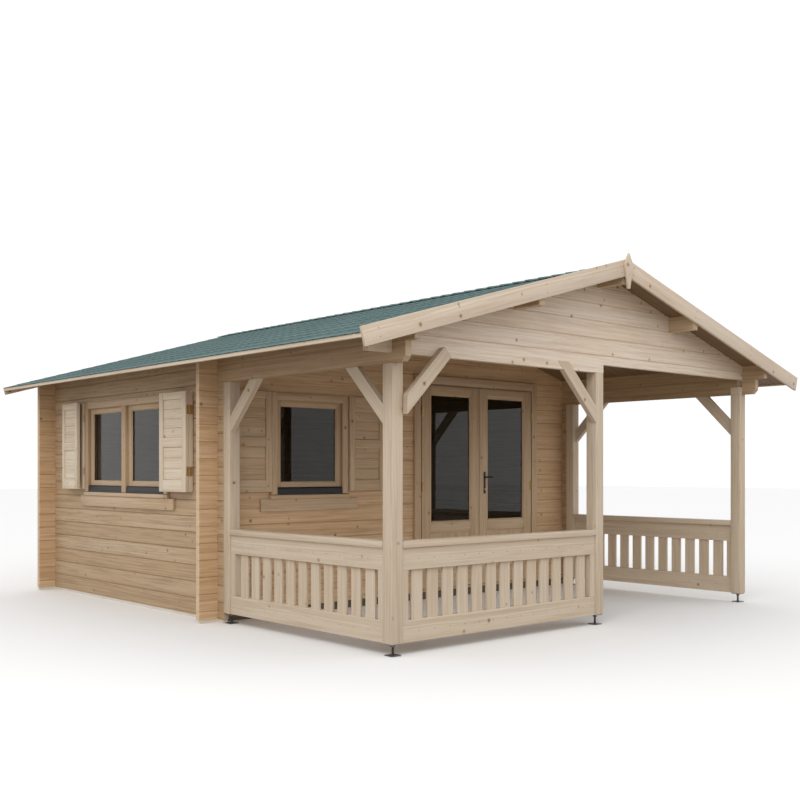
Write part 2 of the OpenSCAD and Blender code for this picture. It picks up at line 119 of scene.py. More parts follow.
class Finish:  # one material and its nodes
    def __init__(self, name, **fixed):
        self.material = bpy.data.materials.new(name)
        self.material.use_nodes = True
        self.tree = self.material.node_tree
        self.tree.nodes.clear()
        self.shader = self.tree.nodes.new("ShaderNodeBsdfPrincipled")
        output = self.tree.nodes.new("ShaderNodeOutputMaterial")
        self.tree.links.new(self.shader.outputs[0], output.inputs[0])
        for socket, value in fixed.items():
            self.feed(self.shader.inputs[socket.replace("_", " ")], value)

    def feed(self, socket, value):
        if isinstance(value, Wire):
            self.tree.links.new(value.socket, socket)
        elif isinstance(value, (tuple, list)) and socket.type == "RGBA":
            socket.default_value = (*value[:3], 1.0)
        else:
            socket.default_value = value

    def node(self, kind, settings, values, out=0):
        made = self.tree.nodes.new(kind)
        for name, value in settings.items():
            setattr(made, name, value)
        for name, value in values.items():
            self.feed(made.inputs[name], value)
        return Wire(self, made.outputs[out])

    def mix(self, share, first, second):
        return self.node("ShaderNodeMix", {"data_type": "RGBA"}, {0: share, 6: first, 7: second}, 2)

    def place(self, output="Object"):
        return self.node("ShaderNodeTexCoord", {}, {}, output)

    def carried(self, name):  # a vector that each board carries
        return self.split(self.node("ShaderNodeAttribute", {"attribute_name": name}, {}, "Vector"))

    def split(self, vector):
        made = self.node("ShaderNodeSeparateXYZ", {}, {0: vector})
        return [Wire(self, output) for output in made.socket.node.outputs]

    def join(self, x, y, z):
        return self.node("ShaderNodeCombineXYZ", {}, {0: x, 1: y, 2: z})

    def noise(self, vector, scale, detail=3.0, rough=0.55):
        return self.node("ShaderNodeTexNoise", {}, {
            "Vector": vector, "Scale": scale, "Detail": detail, "Roughness": rough})

    def line(self, value, scale, detail):  # noise along one number
        return self.node("ShaderNodeTexNoise", {"noise_dimensions": "1D"}, {
            "W": value, "Scale": scale, "Detail": detail})

    def chance(self, value):
        return self.node("ShaderNodeTexWhiteNoise", {"noise_dimensions": "1D"}, {"W": value})

    def give(self, socket, value):
        self.feed(self.shader.inputs[socket], value)

    def bump(self, height, strength, distance):
        self.give("Normal", self.node(
            "ShaderNodeBump", {}, {"Strength": strength, "Distance": distance, "Height": height}))


timber = {
    # noise per metre along and across the board
    "wander": (0.9, 5.0),
    "streak": (1.8, 46.0),
    "fibre": (22.0, 900.0),
    "cloud": (1.1, 3.0),
    "fleck": (7.0, 210.0),
    "heart": (0.16, 0.05, 0.03, 0.10),  # how far off the board's middle its heart lies
    "ringWidth": 0.0045,    # spacing of the growth rings
    "bands": 38.0,          # broad bands of rings per metre
    # how far each layer darkens the wood
    "ringShare": 0.48,
    "bandShare": 0.55,
    "cloudShare": 0.55,
    "streakShare": 0.60,
    "fleckShare": 0.28,
    "rimShare": 0.55,
    "endShare": 0.45,
    "knotCell": 0.125,      # one place for a knot in each square of this side
    "knotShare": 0.17,      # share of those places that hold one
    "knotRadius": 0.0038,
    "knotGrowth": 0.0068,   # the largest knots are this much wider
    "knotSoft": 0.0025,
    "rimWide": 0.014,
    "knotColour": (0.170, 0.085, 0.040),
    "rimColour": (0.36, 0.215, 0.115),
}


def spruce(finish, along, across, deep, tone, endGrain, look, halfWide=None):
    # colour and relief of planed spruce; along, across and deep follow the board
    t = timber

    def layer(name, detail, rough=0.55):
        long, wide = t[name]
        return finish.noise(finish.join(along * long, across * wide, deep * wide), 1.0, detail, rough)

    wander = layer("wander", 2.0)
    far = finish.chance(tone * 91.0 + 3.7)
    aside, sway, under, depth = t["heart"]
    heartA = across + (tone - 0.5) * aside + (wander - 0.5) * sway
    heartB = deep + under + far * depth
    radius = (heartA * heartA + heartB * heartB).root()

    spot = finish.node("ShaderNodeTexVoronoi", {"voronoi_dimensions": "2D"}, {
        "Vector": finish.join(along + (wander - 0.5) * 0.012, across, 0.0),
        "Scale": 1 / t["knotCell"]})
    pick, grow, _ = finish.split(Wire(finish, spot.socket.node.outputs["Color"]))
    held = pick.below(t["knotShare"])
    if halfWide is not None:  # a board's narrow faces show no knots
        held = held * (halfWide - across.size()).fade(0.0008, 0.004)
    past = spot * t["knotCell"] - (grow * t["knotGrowth"] + t["knotRadius"])
    knot = (1 - past.fade(-t["knotSoft"], t["knotSoft"])) * held
    rim = (1 - past.fade(0.0, t["rimWide"])) * held

    rings = finish.line(radius + rim * 0.006, 1 / t["ringWidth"], 2.0).fade(0.42, 0.68)
    bands = finish.line(radius, t["bands"], 1.0).fade(0.35, 0.70)
    streak = layer("streak", 5.0, 0.65)
    fibre = layer("fibre", 2.0)

    colour = finish.mix(tone, look["pale"], look["warm"])
    for share, darker in (
            (layer("cloud", 2.0).fade(0.35, 0.7) * t["cloudShare"], look["deep"]),
            (bands * t["ringShare"] * t["bandShare"], look["ring"]),
            (rings * t["ringShare"], look["ring"]),
            (streak.fade(0.44, 0.68) * t["streakShare"], look["ring"]),
            (layer("fleck", 3.0, 0.6).fade(0.56, 0.70) * t["fleckShare"], look["ring"]),
            (rim * t["rimShare"], t["rimColour"]),
            (knot * (grow * 0.50 + 0.30), t["knotColour"]),
            (endGrain * t["endShare"], look["end"])):
        colour = finish.mix(share, colour, darker)
    height = streak * 0.5 + rings * 0.35 + fibre * 0.3 - knot * 0.5
    rough = 0.56 + streak * 0.16 - rings * 0.06 - knot * 0.12 + endGrain * 0.12
    return colour, height, rough


looks = {
    # side and cross are copies of one log wood, with their colours set to how light falls on each wall:
    # painted light and shade, the cross look lighter and warmer for the front wall in the porch's shade
    "side": {"pale": (0.590, 0.450, 0.294), "warm": (0.500, 0.356, 0.214), "deep": (0.525, 0.360, 0.204),
             "ring": (0.300, 0.188, 0.102), "end": (0.660, 0.540, 0.390)},
    "cross": {"pale": (0.750, 0.548, 0.352), "warm": (0.676, 0.462, 0.268), "deep": (0.700, 0.464, 0.248),
              "ring": (0.405, 0.238, 0.124), "end": (0.720, 0.590, 0.420)},
    # the gable look is the same log wood painted paler: painted light against the shade under the porch roof
    "gable": {"pale": (0.880, 0.785, 0.680), "warm": (0.815, 0.695, 0.565), "deep": (0.815, 0.665, 0.510),
              "ring": (0.600, 0.455, 0.330), "end": (0.560, 0.440, 0.310)},
    "frame": {"pale": (0.665, 0.578, 0.460), "warm": (0.602, 0.498, 0.375), "deep": (0.622, 0.505, 0.370),
              "ring": (0.480, 0.362, 0.252), "end": (0.520, 0.405, 0.285)},
    "barge": {"pale": (0.735, 0.635, 0.520), "warm": (0.670, 0.552, 0.432), "deep": (0.688, 0.558, 0.422),
              "ring": (0.530, 0.408, 0.298), "end": (0.520, 0.405, 0.290)},
    # the pale look of the shutters' wood, used on the side shutters; the porch leaves take the darker joinery
    # look as painted shade
    "shutter": {"pale": (0.790, 0.710, 0.580), "warm": (0.715, 0.605, 0.462), "deep": (0.725, 0.602, 0.440),
                "ring": (0.560, 0.430, 0.300), "end": (0.560, 0.440, 0.300)},
    "joinery": {"pale": (0.630, 0.492, 0.340), "warm": (0.562, 0.410, 0.260), "deep": (0.582, 0.414, 0.250),
                "ring": (0.380, 0.245, 0.140), "end": (0.460, 0.335, 0.210)},
    # the roof boards are painted far darker than the other spruce: painted shade under the eaves
    "roof": {"pale": (0.240, 0.156, 0.080), "warm": (0.190, 0.116, 0.055), "deep": (0.210, 0.124, 0.056),
             "ring": (0.125, 0.070, 0.033), "end": (0.180, 0.120, 0.068)},
    "treated": {"pale": (0.120, 0.100, 0.062), "warm": (0.090, 0.078, 0.048), "deep": (0.100, 0.085, 0.050),
                "ring": (0.045, 0.036, 0.022), "end": (0.060, 0.050, 0.032)},
}


def logFinish(name, look, lengthwise, firstJoint, jointShare):
    # logs laid on each other: every course is a board of its own
    finish = Finish(name)
    x, y, z = finish.split(finish.place())
    along, deep = (x, y) if lengthwise == "X" else (y, x)
    level = (z - firstJoint) / cabin["course"]
    course = level.whole()
    tone = finish.chance(course + firstJoint * 100)
    other = finish.chance(course + 57.3 + firstJoint * 100)
    across = (level.rest() - 0.5) * cabin["course"]
    facing = finish.split(finish.place("Normal"))
    endGrain = facing[0 if lengthwise == "X" else 1].size().fade(0.6, 0.8)
    colour, height, rough = spruce(
        finish, along + other * 31.0, across + course * 0.731, deep, tone, endGrain, look)
    seam = ((level + 0.5).rest() - 0.5).size() * cabin["course"]
    inJoint = 1 - seam.fade(0.0015, 0.0075)
    colour = finish.mix(inJoint * jointShare, colour, look["ring"])
    finish.give("Base Color", colour)
    finish.give("Roughness", rough + inJoint * 0.1)
    finish.bump(height, 0.35, 0.0012)
    return finish.material


def boardFinish(name, look):
    # sawn boards: each carries its own grain coordinates
    finish = Finish(name)
    along, across, deep = finish.carried("grain")
    tone, endGrain, halfWide = finish.carried("board")
    colour, height, rough = spruce(finish, along, across, deep, tone, endGrain, look, halfWide)
    finish.give("Base Color", colour)
    finish.give("Roughness", rough)
    finish.bump(height, 0.35, 0.0010)
    return finish.material


roof = {
    "boardWide": 0.096,
    "boardEdge": 0.0022,
    "boardGap": 0.0003,
    "exposure": 0.145,      # height of a course of shingles
    "tab": 0.333,
    "slot": 0.010,
    "under": 0.0012,        # thickness of the layer that shows in the slots
    "tabThick": 0.0040,
    "tabEdge": 0.0010,
    "overlap": 0.014,
    "lift": 0.0026,
    "narrowest": 0.02,      # pieces of tab below this width are left off
    "capReach": 0.140,
    "capRise": 0.0315,
    "capLap": 0.012,
    "capTurn": 0.030,
    "drip": 0.0085,
}
roof["reach"] = (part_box("right_shingles")[1].x - roof["drip"]) / math.cos(cabin["slope"])

granules = {
    "grain": 450.0,
    "patch": 0.111,        # spacing of the painted shadow dashes, three to a tab
    "patchShare": 0.58,    # share of that spacing that is dark
    "bare": 0.10,          # share of each course above its lower edge that the painted shadow leaves out
    "underTone": 0.995,    # the layer below the tabs carries a tone above this
    # near black for the layer under the tabs: painted shade in the slots
    "slot": (0.010, 0.018, 0.018),
    "dark": (0.008, 0.030, 0.030),
    "light": (0.150, 0.270, 0.262),
    "worn": (0.160, 0.250, 0.240),
}


def shingleFinish():
    finish = Finish("shingle_granules")
    place = finish.place()
    tone, _, _ = finish.carried("board")
    x, y, _ = finish.split(place)
    climb = (roof["reach"] - x.size() / math.cos(cabin["slope"])) / roof["exposure"]
    pair = climb.whole() * 0.5
    # painted shadow: dark dashes on every second course, standing in for the shade under the tabs' edges
    spot = y / granules["patch"] + pair.whole() * 0.5
    drop = finish.chance(spot.whole() * 0.731 + pair.whole() * 17.9)
    paintedShadow = spot.rest().below(granules["patchShare"]) * climb.rest().above(granules["bare"])
    paintedShadow = paintedShadow * pair.rest().above(0.25)  # every second course only
    # the layer under the tabs takes the near-black slot colour: painted shade in the slots
    under = tone.above(granules["underTone"])
    grit, _, _ = finish.split(finish.node(
        "ShaderNodeTexVoronoi", {}, {"Vector": place, "Scale": granules["grain"]}, "Color"))
    cloud = finish.noise(place, 3.0, 4.0)
    colour = finish.mix(0.30 + grit * 0.5, granules["dark"], granules["light"])
    colour = finish.mix(tone * 0.20, colour, granules["dark"])
    colour = finish.mix(cloud.fade(0.45, 0.75) * 0.25, colour, granules["worn"])
    colour = finish.mix(paintedShadow * (0.75 + drop * 0.20), colour, granules["dark"])
    colour = finish.mix(under * 0.9, colour, granules["slot"])
    finish.give("Base Color", colour)
    finish.give("Roughness", 0.86 + grit * 0.1)
    finish.bump(grit, 0.5, 0.0010)
    return finish.material


def metalFinish(name, colour, rough, metallic, scale):
    finish = Finish(name, Metallic=metallic)
    smear = finish.noise(finish.place(), scale, 4.0)
    spot = finish.noise(finish.place(), scale * 9, 2.0)
    worn = tuple(part * 0.55 + 0.02 for part in colour)
    finish.give("Base Color", finish.mix(smear.fade(0.35, 0.8) * 0.5, colour, worn))
    finish.give("Roughness", rough + smear * 0.16 + spot * 0.06 - 0.08)
    finish.bump(spot, 0.12, 0.0004)
    return finish.material


def glassFinish():
    finish = Finish("window_glass_clear", Transmission_Weight=1.0, IOR=1.4)
    haze = finish.noise(finish.place(), 5.0, 3.0)
    finish.give("Base Color", finish.mix(haze, (0.34, 0.32, 0.26), (0.26, 0.25, 0.21)))
    finish.give("Roughness", haze.fade(0.3, 0.8) * 0.03)
    finish.bump(finish.noise(finish.place(), 1.3, 1.0), 0.10, 0.004)
    return finish.material


finishes = {
    "sideLogs": logFinish("side_logs", looks["side"], "Y", cabin["sideJoint"], 0.50),
    "crossLogs": logFinish("cross_logs", looks["cross"], "X", cabin["crossJoint"], 0.22),
    "gableLogs": logFinish("gable_logs", looks["gable"], "X", cabin["crossJoint"], 0.30),
    "frame": boardFinish("frame_spruce", looks["frame"]),
    "barge": boardFinish("edge_board_spruce", looks["barge"]),
    "shutter": boardFinish("shutter_spruce", looks["shutter"]),
    "joinery": boardFinish("joinery_spruce", looks["joinery"]),
    "roof": boardFinish("roof_spruce", looks["roof"]),
    "shingle": shingleFinish(),
    "steel": metalFinish("galvanised_steel", (0.17, 0.17, 0.18), 0.42, 0.9, 60.0),
    "handle": metalFinish("bronze_lacquer", (0.045, 0.034, 0.026), 0.36, 0.8, 30.0),
    "brass": metalFinish("brass_cylinder", (0.62, 0.46, 0.22), 0.30, 1.0, 80.0),
    "hinge": metalFinish("hinge_steel", (0.46, 0.32, 0.15), 0.36, 0.8, 80.0),
    "strip": metalFinish("black_strip", (0.018, 0.018, 0.020), 0.45, 0.3, 25.0),
    "glass": glassFinish(),
    "spacer": metalFinish("spacer_bar", (0.62, 0.62, 0.60), 0.40, 0.3, 40.0),
}
print("finishes made")


# ---- Woodwork

def sawOff(part, point, normal):
    # removes what lies on the side the normal points to, and closes the cut
    cut = bmesh.ops.bisect_plane(
        part, geom=part.verts[:] + part.edges[:] + part.faces[:], plane_co=point, plane_no=normal,
        clear_outer=True)
    rim = [item for item in cut["geom_cut"] if isinstance(item, bmesh.types.BMEdge)]
    if rim:
        bmesh.ops.holes_fill(part, edges=rim)


def easeEdges(part, offset, steps=1, edges=None):
    bmesh.ops.bevel(
        part, geom=part.edges[:] if edges is None else edges, offset=offset, offset_type="OFFSET",
        segments=steps, profile=0.5, affect="EDGES", clamp_overlap=True, material=-1)


def block(low, high):
    part = bmesh.new()
    low, high = Vector(low), Vector(high)
    bmesh.ops.create_cube(part, size=1)
    bmesh.ops.scale(part, vec=high - low, verts=part.verts)
    bmesh.ops.translate(part, vec=(low + high) / 2, verts=part.verts)
    return part


class Bench:  # one piece, put together part by part
    def __init__(self, seed):
        self.whole = bmesh.new()
        self.luck = random.Random(seed)
        self.place = Matrix.Identity(4)

    def put(self, part, along=0, across=None, material=0, tone=None):
        # moves a finished part into the piece and gives it grain coordinates of its own
        sizes = [max(v.co[i] for v in part.verts) - min(v.co[i] for v in part.verts) for i in range(3)]
        others = [i for i in range(3) if i != along]
        if across is None:
            across = max(others, key=lambda i: sizes[i])
        deep = [i for i in others if i != across][0]
        middle = [(max(v.co[i] for v in part.verts) + min(v.co[i] for v in part.verts)) / 2 for i in range(3)]
        grain = part.verts.layers.float_vector.new("grain")
        board = part.verts.layers.float_vector.new("board")
        start = self.luck.uniform(0, 60)
        shade = self.luck.random() if tone is None else tone
        for vert in part.verts:
            face = max(vert.link_faces, key=lambda f: f.calc_area())
            vert[grain] = (
                vert.co[along] + start, vert.co[across] - middle[across], vert.co[deep] - middle[deep])
            vert[board] = (shade, 1.0 if abs(face.normal[along]) > 0.5 else 0.0, sizes[across] / 2)
        for face in part.faces:
            face.material_index = material
        bmesh.ops.transform(part, matrix=self.place, verts=part.verts)
        if self.place.determinant() < 0:
            bmesh.ops.reverse_faces(part, faces=part.faces)
        mesh = bpy.data.meshes.new("part")
        part.to_mesh(mesh)
        self.whole.from_mesh(mesh)
        bpy.data.meshes.remove(mesh)
        part.free()

    def board(self, low, high, along=0, edge=0.0015, steps=1, cuts=(), material=0, tone=None, across=None):
        part = block(low, high)
        for point, normal in cuts:
            sawOff(part, Vector(point), Vector(normal))
        if edge:
            easeEdges(part, edge, steps)
        self.put(part, along, across, material, tone)

    def stand(self, part, base, axis, material):
        # turns a part drawn up Z onto its axis
        turn = Vector((0, 0, 1)).rotation_difference(Vector(axis)).to_matrix().to_4x4()
        bmesh.ops.transform(part, matrix=Matrix.Translation(base) @ turn, verts=part.verts)
        self.put(part, 2, None, material)

    def rod(self, base, axis, radius, length, sides, edge, material=0):
        # a round bar from base along an axis, its ends eased
        part = bmesh.new()
        bmesh.ops.create_cone(
            part, cap_ends=True, segments=sides, radius1=radius, radius2=radius, depth=length)
        bmesh.ops.translate(part, vec=(0, 0, length / 2), verts=part.verts)
        rims = [e for e in part.edges if abs(e.verts[0].co.z - e.verts[1].co.z) < 1e-6]
        easeEdges(part, edge, 2, rims)
        self.stand(part, base, axis, material)

    def screw(self, point, facing, radius, material=0):
        # low domed head with a round recess
        part = bmesh.new()
        bmesh.ops.create_cone(
            part, cap_ends=True, segments=12, radius1=radius, radius2=radius * 0.7, depth=0.0014)
        bmesh.ops.translate(part, vec=(0, 0, 0.0004), verts=part.verts)
        top = max(part.faces, key=lambda f: f.calc_center_median().z)
        bmesh.ops.inset_individual(part, faces=[top], thickness=radius * 0.35, depth=-0.0006)
        self.stand(part, point, facing, material)

    def finish(self, name, body, slot, nodes, materials):
        mesh = bpy.data.meshes.new(name)
        self.whole.to_mesh(mesh)
        self.whole.free()
        piece = bpy.data.objects.new(name, mesh)
        bpy.context.scene.collection.objects.link(piece)
        for key in materials:
            mesh.materials.append(finishes[key])
        for face in mesh.polygons:
            face.use_smooth = True
        mesh.set_sharp_from_angle(angle=math.radians(34))
        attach(piece, body)
        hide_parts(*nodes)


# ---- Log walls keep their own shape and get the log finish

walls = {
    "sideLogs": ["left_wall", "right_wall", "left_plate", "right_plate"],
    "crossLogs": ["back_wall", "front_wall_left", "front_wall_right", "front_wall_gable"],
    "gableLogs": ["porch_gable"],
}


def coat(node, material):
    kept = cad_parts[node]
    kept.data.materials.clear()
    kept.data.materials.append(material)


for key, nodes in walls.items():
    for node in nodes:
        coat(node, finishes[key])
print("log walls finished")


def span(side, near, far):  # two x on one side of the middle, in order
    return sorted((side * near, side * far))


# ---- Porch frame

post = {"edge": 0.004, "steps": 2, "notch": 0.050, "upperEdge": 0.0015}


def makePost(name, node, notched=False):
    bench = Bench(name)
    low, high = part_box(node)
    seat = cabin["plateFoot"] if notched else high.z
    bench.board(low, (high.x, high.y, seat), 2, post["edge"], post["steps"], tone=0.3)
    if notched:  # the upper part is halved over the log plate
        x0, x1 = (low.x + post["notch"], high.x) if low.x < 0 else (low.x, high.x - post["notch"])
        bench.board((x0, low.y, seat), (x1, high.y, high.z), 2, post["upperEdge"], tone=0.3)
    bench.finish(name, "cabin", "post_wood", [node], ["frame"])


makePost("post_front_left", "front_left_post", True)
makePost("post_front_middle", "front_middle_post")
makePost("post_front_right", "front_right_post", True)
makePost("post_rear_left", "rear_left_post")
makePost("post_rear_right", "rear_right_post")

brace = {
    "width": 0.092,
    "thick": 0.045,
    "edge": 0.002,
    "lap": 0.004,       # how far a brace is let into its post
    "spareFoot": 0.15,  # length sawn off at the foot
    "spareTop": 0.1,    # and at least at the top
    "climb": 1.4,       # length of a 45 degree brace over its rise
}


def makeBrace(bench, foot, lead, rise, thickAxis, cuts):
    # a 45 degree brace rising from foot towards lead (a unit vector in plan), let into its post
    foot, lead, up = Vector(foot), Vector(lead), Vector((0, 0, 1))
    axes = (lead + up).normalized(), (up - lead).normalized(), Vector(thickAxis)
    bench.place = Matrix.Translation(foot) @ Matrix(axes).transposed().to_4x4()
    back = bench.place.inverted()
    planes = [(foot - lead * brace["lap"], -lead)] + cuts
    turned = [(back @ Vector(p), (back.to_3x3() @ Vector(n)).normalized()) for p, n in planes]
    bench.board(
        (-brace["spareFoot"], 0, 0),
        (brace["climb"] * rise + brace["spareTop"], brace["width"], brace["thick"]),
        0, brace["edge"], 1, turned, tone=0.25)


def makeFrontBraces():
    bench = Bench("front braces")
    low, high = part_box("front_braces")
    halfPost = -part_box("front_middle_post")[0].x
    rise, reach = high.z - low.z, cabin["beamFoot"] - low.z
    level = ((0, 0, high.z), (0, 0, 1))
    # the left one is cut square to itself where its lower edge meets the beam
    square = ((low.x + reach, low.y, cabin["beamFoot"]), (1, 0, 1))
    makeBrace(bench, (low.x, low.y, low.z), (1, 0, 0), rise, (0, -1, 0), [square, level])
    makeBrace(bench, (-halfPost, low.y, low.z), (-1, 0, 0), rise, (0, 1, 0), [level])
    bench.finish("knee_braces_front", "cabin", "post_wood", ["front_braces"], ["frame"])


def makeSideBraces():
    bench = Bench("side braces")
    low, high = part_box("side_braces")
    level = ((0, 0, high.z), (0, 0, 1))
    for x in (low.x, high.x - brace["thick"]):
        for y, lead in ((low.y, 1), (high.y, -1)):
            makeBrace(bench, (x, y, low.z), (0, lead, 0), high.z - low.z, (1, 0, 0), [level])
    bench.finish("knee_braces_side", "cabin", "post_wood", ["side_braces"], ["frame"])


makeFrontBraces()
makeSideBraces()

foot = {
    "plate": 0.080,
    "plateThick": 0.006,
    "plateEdge": 0.0012,
    "rod": 0.0095,
    "thread": 0.0022,
    "pitch": 0.004,
    "nut": 0.0165,
    "nutHigh": 0.016,
    "nutEdge": 0.0015,
    "turns": 14,        # steps round the rod
}


def makeThread(low, high):
    # a threaded rod: a zigzag turned round the axis
    rod = bmesh.new()
    root = foot["rod"] - foot["thread"]
    z, outline = low, []
    while z < high - foot["pitch"]:
        outline += [(root, z), (foot["rod"], z + foot["pitch"] / 2)]
        z += foot["pitch"]
    outline.append((root, high))
    points = [rod.verts.new((r, 0, h)) for r, h in outline]
    edges = [rod.edges.new(pair) for pair in zip(points, points[1:])]
    bmesh.ops.spin(
        rod, geom=points + edges, cent=(0, 0, 0), axis=(0, 0, 1), angle=math.tau, steps=foot["turns"],
        use_merge=True)
    bmesh.ops.holes_fill(rod, edges=rod.edges[:])
    bmesh.ops.recalc_face_normals(rod, faces=rod.faces)
    return rod


def makeFeet():
    bench = Bench("feet")
    half = foot["plate"] / 2
    thick, top = foot["plateThick"], cabin["postFoot"]
    for node in ("front_left_post", "front_middle_post", "front_right_post",
                 "rear_left_post", "rear_right_post"):
        low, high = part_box(node)
        bench.place = Matrix.Translation(((low.x + high.x) / 2, (low.y + high.y) / 2, 0))
        for z in (0.0, top - thick):
            bench.board((-half, -half, z), (half, half, z + thick), 0, foot["plateEdge"])
        bench.put(makeThread(thick, top - thick), 2)
        nut = bmesh.new()
        bmesh.ops.create_cone(
            nut, cap_ends=True, segments=6, radius1=foot["nut"], radius2=foot["nut"], depth=foot["nutHigh"])
        easeEdges(nut, foot["nutEdge"])
        bmesh.ops.translate(nut, vec=(0, 0, top - thick - foot["nutHigh"] / 2), verts=nut.verts)
        bench.put(nut, 2)
    bench.finish("adjustable_feet", "cabin", "steel", ["post_feet"], ["steel"])


makeFeet()

railing = {
    "boardThick": 0.018,
    "boardHigh": 0.147,
    "inset": 0.010,
    "capThick": 0.045,
    "capOut": 0.005,
    "capEdge": 0.004,
    "stile": 0.058,
    "baluster": 0.100,
    "play": 0.0004,     # of a baluster between the boards
    "edge": 0.002,
    "screw": 0.0035,
}


def makeRailing(name, node, start, turn, run):
    # drawn along +X from the left-hand post, outer side towards -Y
    bench = Bench(name)
    bench.place = Matrix.Translation(start) @ Matrix.Rotation(turn, 4, "Z")
    r = railing
    low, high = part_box(node)
    under = high.z - low.z - r["capThick"]
    outer, inner = r["inset"], r["inset"] + 3 * r["boardThick"]
    for y in (outer, outer + 2 * r["boardThick"]):
        for z in (0.0, under - r["boardHigh"]):
            bench.board((0, y, z), (run, y + r["boardThick"], z + r["boardHigh"]), 0, r["edge"], tone=0.2)
    for x in (0.0, run - r["stile"]):
        bench.board(
            (x, outer, r["boardHigh"]), (x + r["stile"], inner, under - r["boardHigh"]), 2, r["edge"])
    clear = run - 2 * r["stile"]
    count = math.floor((clear + r["baluster"] / 2) / (1.5 * r["baluster"]))
    gap = (clear - count * r["baluster"]) / (count + 1)
    y0, y1 = outer + r["boardThick"] + r["play"], inner - r["boardThick"] - r["play"]
    for i in range(count):
        x = r["stile"] + gap + i * (r["baluster"] + gap)
        bench.board((x, y0, 0.004), (x + r["baluster"], y1, under - 0.001), 2, r["edge"])
        for z in (r["boardHigh"] * 0.5, under - r["boardHigh"] * 0.5):
            bench.screw((x + r["baluster"] / 2, outer, z), (0, -1, 0), r["screw"], 1)
            bench.screw((x + r["baluster"] / 2, inner, z), (0, 1, 0), r["screw"], 1)
    deep = high.y - low.y if turn == 0 else high.x - low.x
    bench.board(
        (0, -r["capOut"], under), (run, deep - r["capOut"], under + r["capThick"]), 0, r["capEdge"], 2,
        tone=0.15)
    bench.finish(name, "cabin", "rail_wood", [node], ["frame", "steel"])


def makeRailings():
    low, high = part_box("left_railing")
    run = high.y - low.y
    x, z = -cabin["halfWidth"], cabin["postFoot"]
    makeRailing("railing_left", "left_railing", (x, high.y, z), -math.pi / 2, run)
    makeRailing("railing_right", "right_railing", (-x, low.y, z), math.pi / 2, run)
    low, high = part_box("front_railing")
    makeRailing("railing_front", "front_railing", (low.x, cabin["postFront"], z), 0, high.x - low.x)


makeRailings()
print("porch frame made")


# ---- Roof

def slopeOf(side, y=0.0, z=None):
    # u down the slope, v along the ridge, n up out of the roof
    c, h = math.cos(cabin["slope"]), math.sin(cabin["slope"])
    turn = Matrix(((side * c, 0, side * h), (0, side, 0), (-h, 0, c))).to_4x4()
    return Matrix.Translation((0, y, cabin["ridge"] if z is None else z)) @ turn


plumb = Vector((math.cos(cabin["slope"]), 0, math.sin(cabin["slope"])))


purlin = {"wide": 0.060, "edge": 0.003, "spare": 0.02, "play": 0.0002}


def makePurlins():
    h, c = math.sin(cabin["slope"]), math.cos(cabin["slope"])
    top = Vector((0, 0, cabin["ridge"] - purlin["play"]))
    slopes = {s: (top, (s * h, 0, c)) for s in (1, -1)}

    bench = Bench("purlin_ridge")
    low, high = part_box("ridge_purlin")
    bench.board(low, high, 1, purlin["edge"], 1, list(slopes.values()))
    bench.finish("purlin_ridge", "cabin", "roof_wood", ["ridge_purlin"], ["joinery"])

    bench = Bench("purlins_middle")
    low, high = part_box("middle_purlins")
    for s in (-1, 1):
        x0, x1 = span(s, high.x, high.x - purlin["wide"])
        bench.board(
            (x0, low.y, low.z), (x1, high.y, high.z + purlin["spare"]), 1, purlin["edge"], 1, [slopes[s]])
    bench.finish("purlins_middle", "cabin", "roof_wood", ["middle_purlins"], ["joinery"])


def makeRoofBoards(name, node, side):
    bench = Bench(name)
    low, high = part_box(node)
    bench.place = slopeOf(side)
    reach = max(-low.x, high.x) / math.cos(cabin["slope"])
    y, gap = low.y, roof["boardGap"]
    while y < high.y - 0.005:
        end = min(y + roof["boardWide"], high.y)
        bench.board(
            (-0.01, y + gap, 0.0), (reach + 0.01, end - gap, cabin["roofBoard"]), 0, roof["boardEdge"], 1,
            [((0, 0, 0), -plumb), ((reach, 0, 0), plumb)])
        y = end
    bench.finish(name, "cabin", "roof_wood", [node], ["roof"])


def layTabs(bench, start, end, top, butt, floor, lift):
    # one course of tabs, tilted so that each lies on the course below
    while start < end[1]:
        y0, y1 = max(start, end[0]), min(start + roof["tab"] - roof["slot"], end[1])
        if y1 - y0 > roof["narrowest"]:
            seat = floor + roof["under"]
            part = block((top, y0, seat), (butt, y1, seat + roof["tabThick"]))
            tilt = Matrix.Rotation(-lift / (butt - top), 3, "Y")
            bmesh.ops.rotate(part, cent=(top, 0, floor), verts=part.verts, matrix=tilt)
            easeEdges(part, roof["tabEdge"])
            bench.put(part, 0, 1, tone=bench.luck.uniform(0.0, 0.9))
        start += roof["tab"]


def layCaps(bench, y, end, side):
    # caps folded over the ridge
    rise = roof["capRise"]
    while y < end - roof["narrowest"]:
        part = block(
            (-roof["capLap"], y, rise),
            (roof["capReach"], min(y + roof["exposure"] + roof["capLap"], end), rise + roof["tabThick"]))
        bmesh.ops.rotate(
            part, cent=(0, y, rise), verts=part.verts, matrix=Matrix.Rotation(side * roof["capTurn"], 3, "X"))
        sawOff(part, Vector((0, 0, 0)), -plumb)
        easeEdges(part, roof["tabEdge"])
        bench.put(part, 1, 0, tone=bench.luck.uniform(0.0, 0.9))
        y += roof["exposure"]


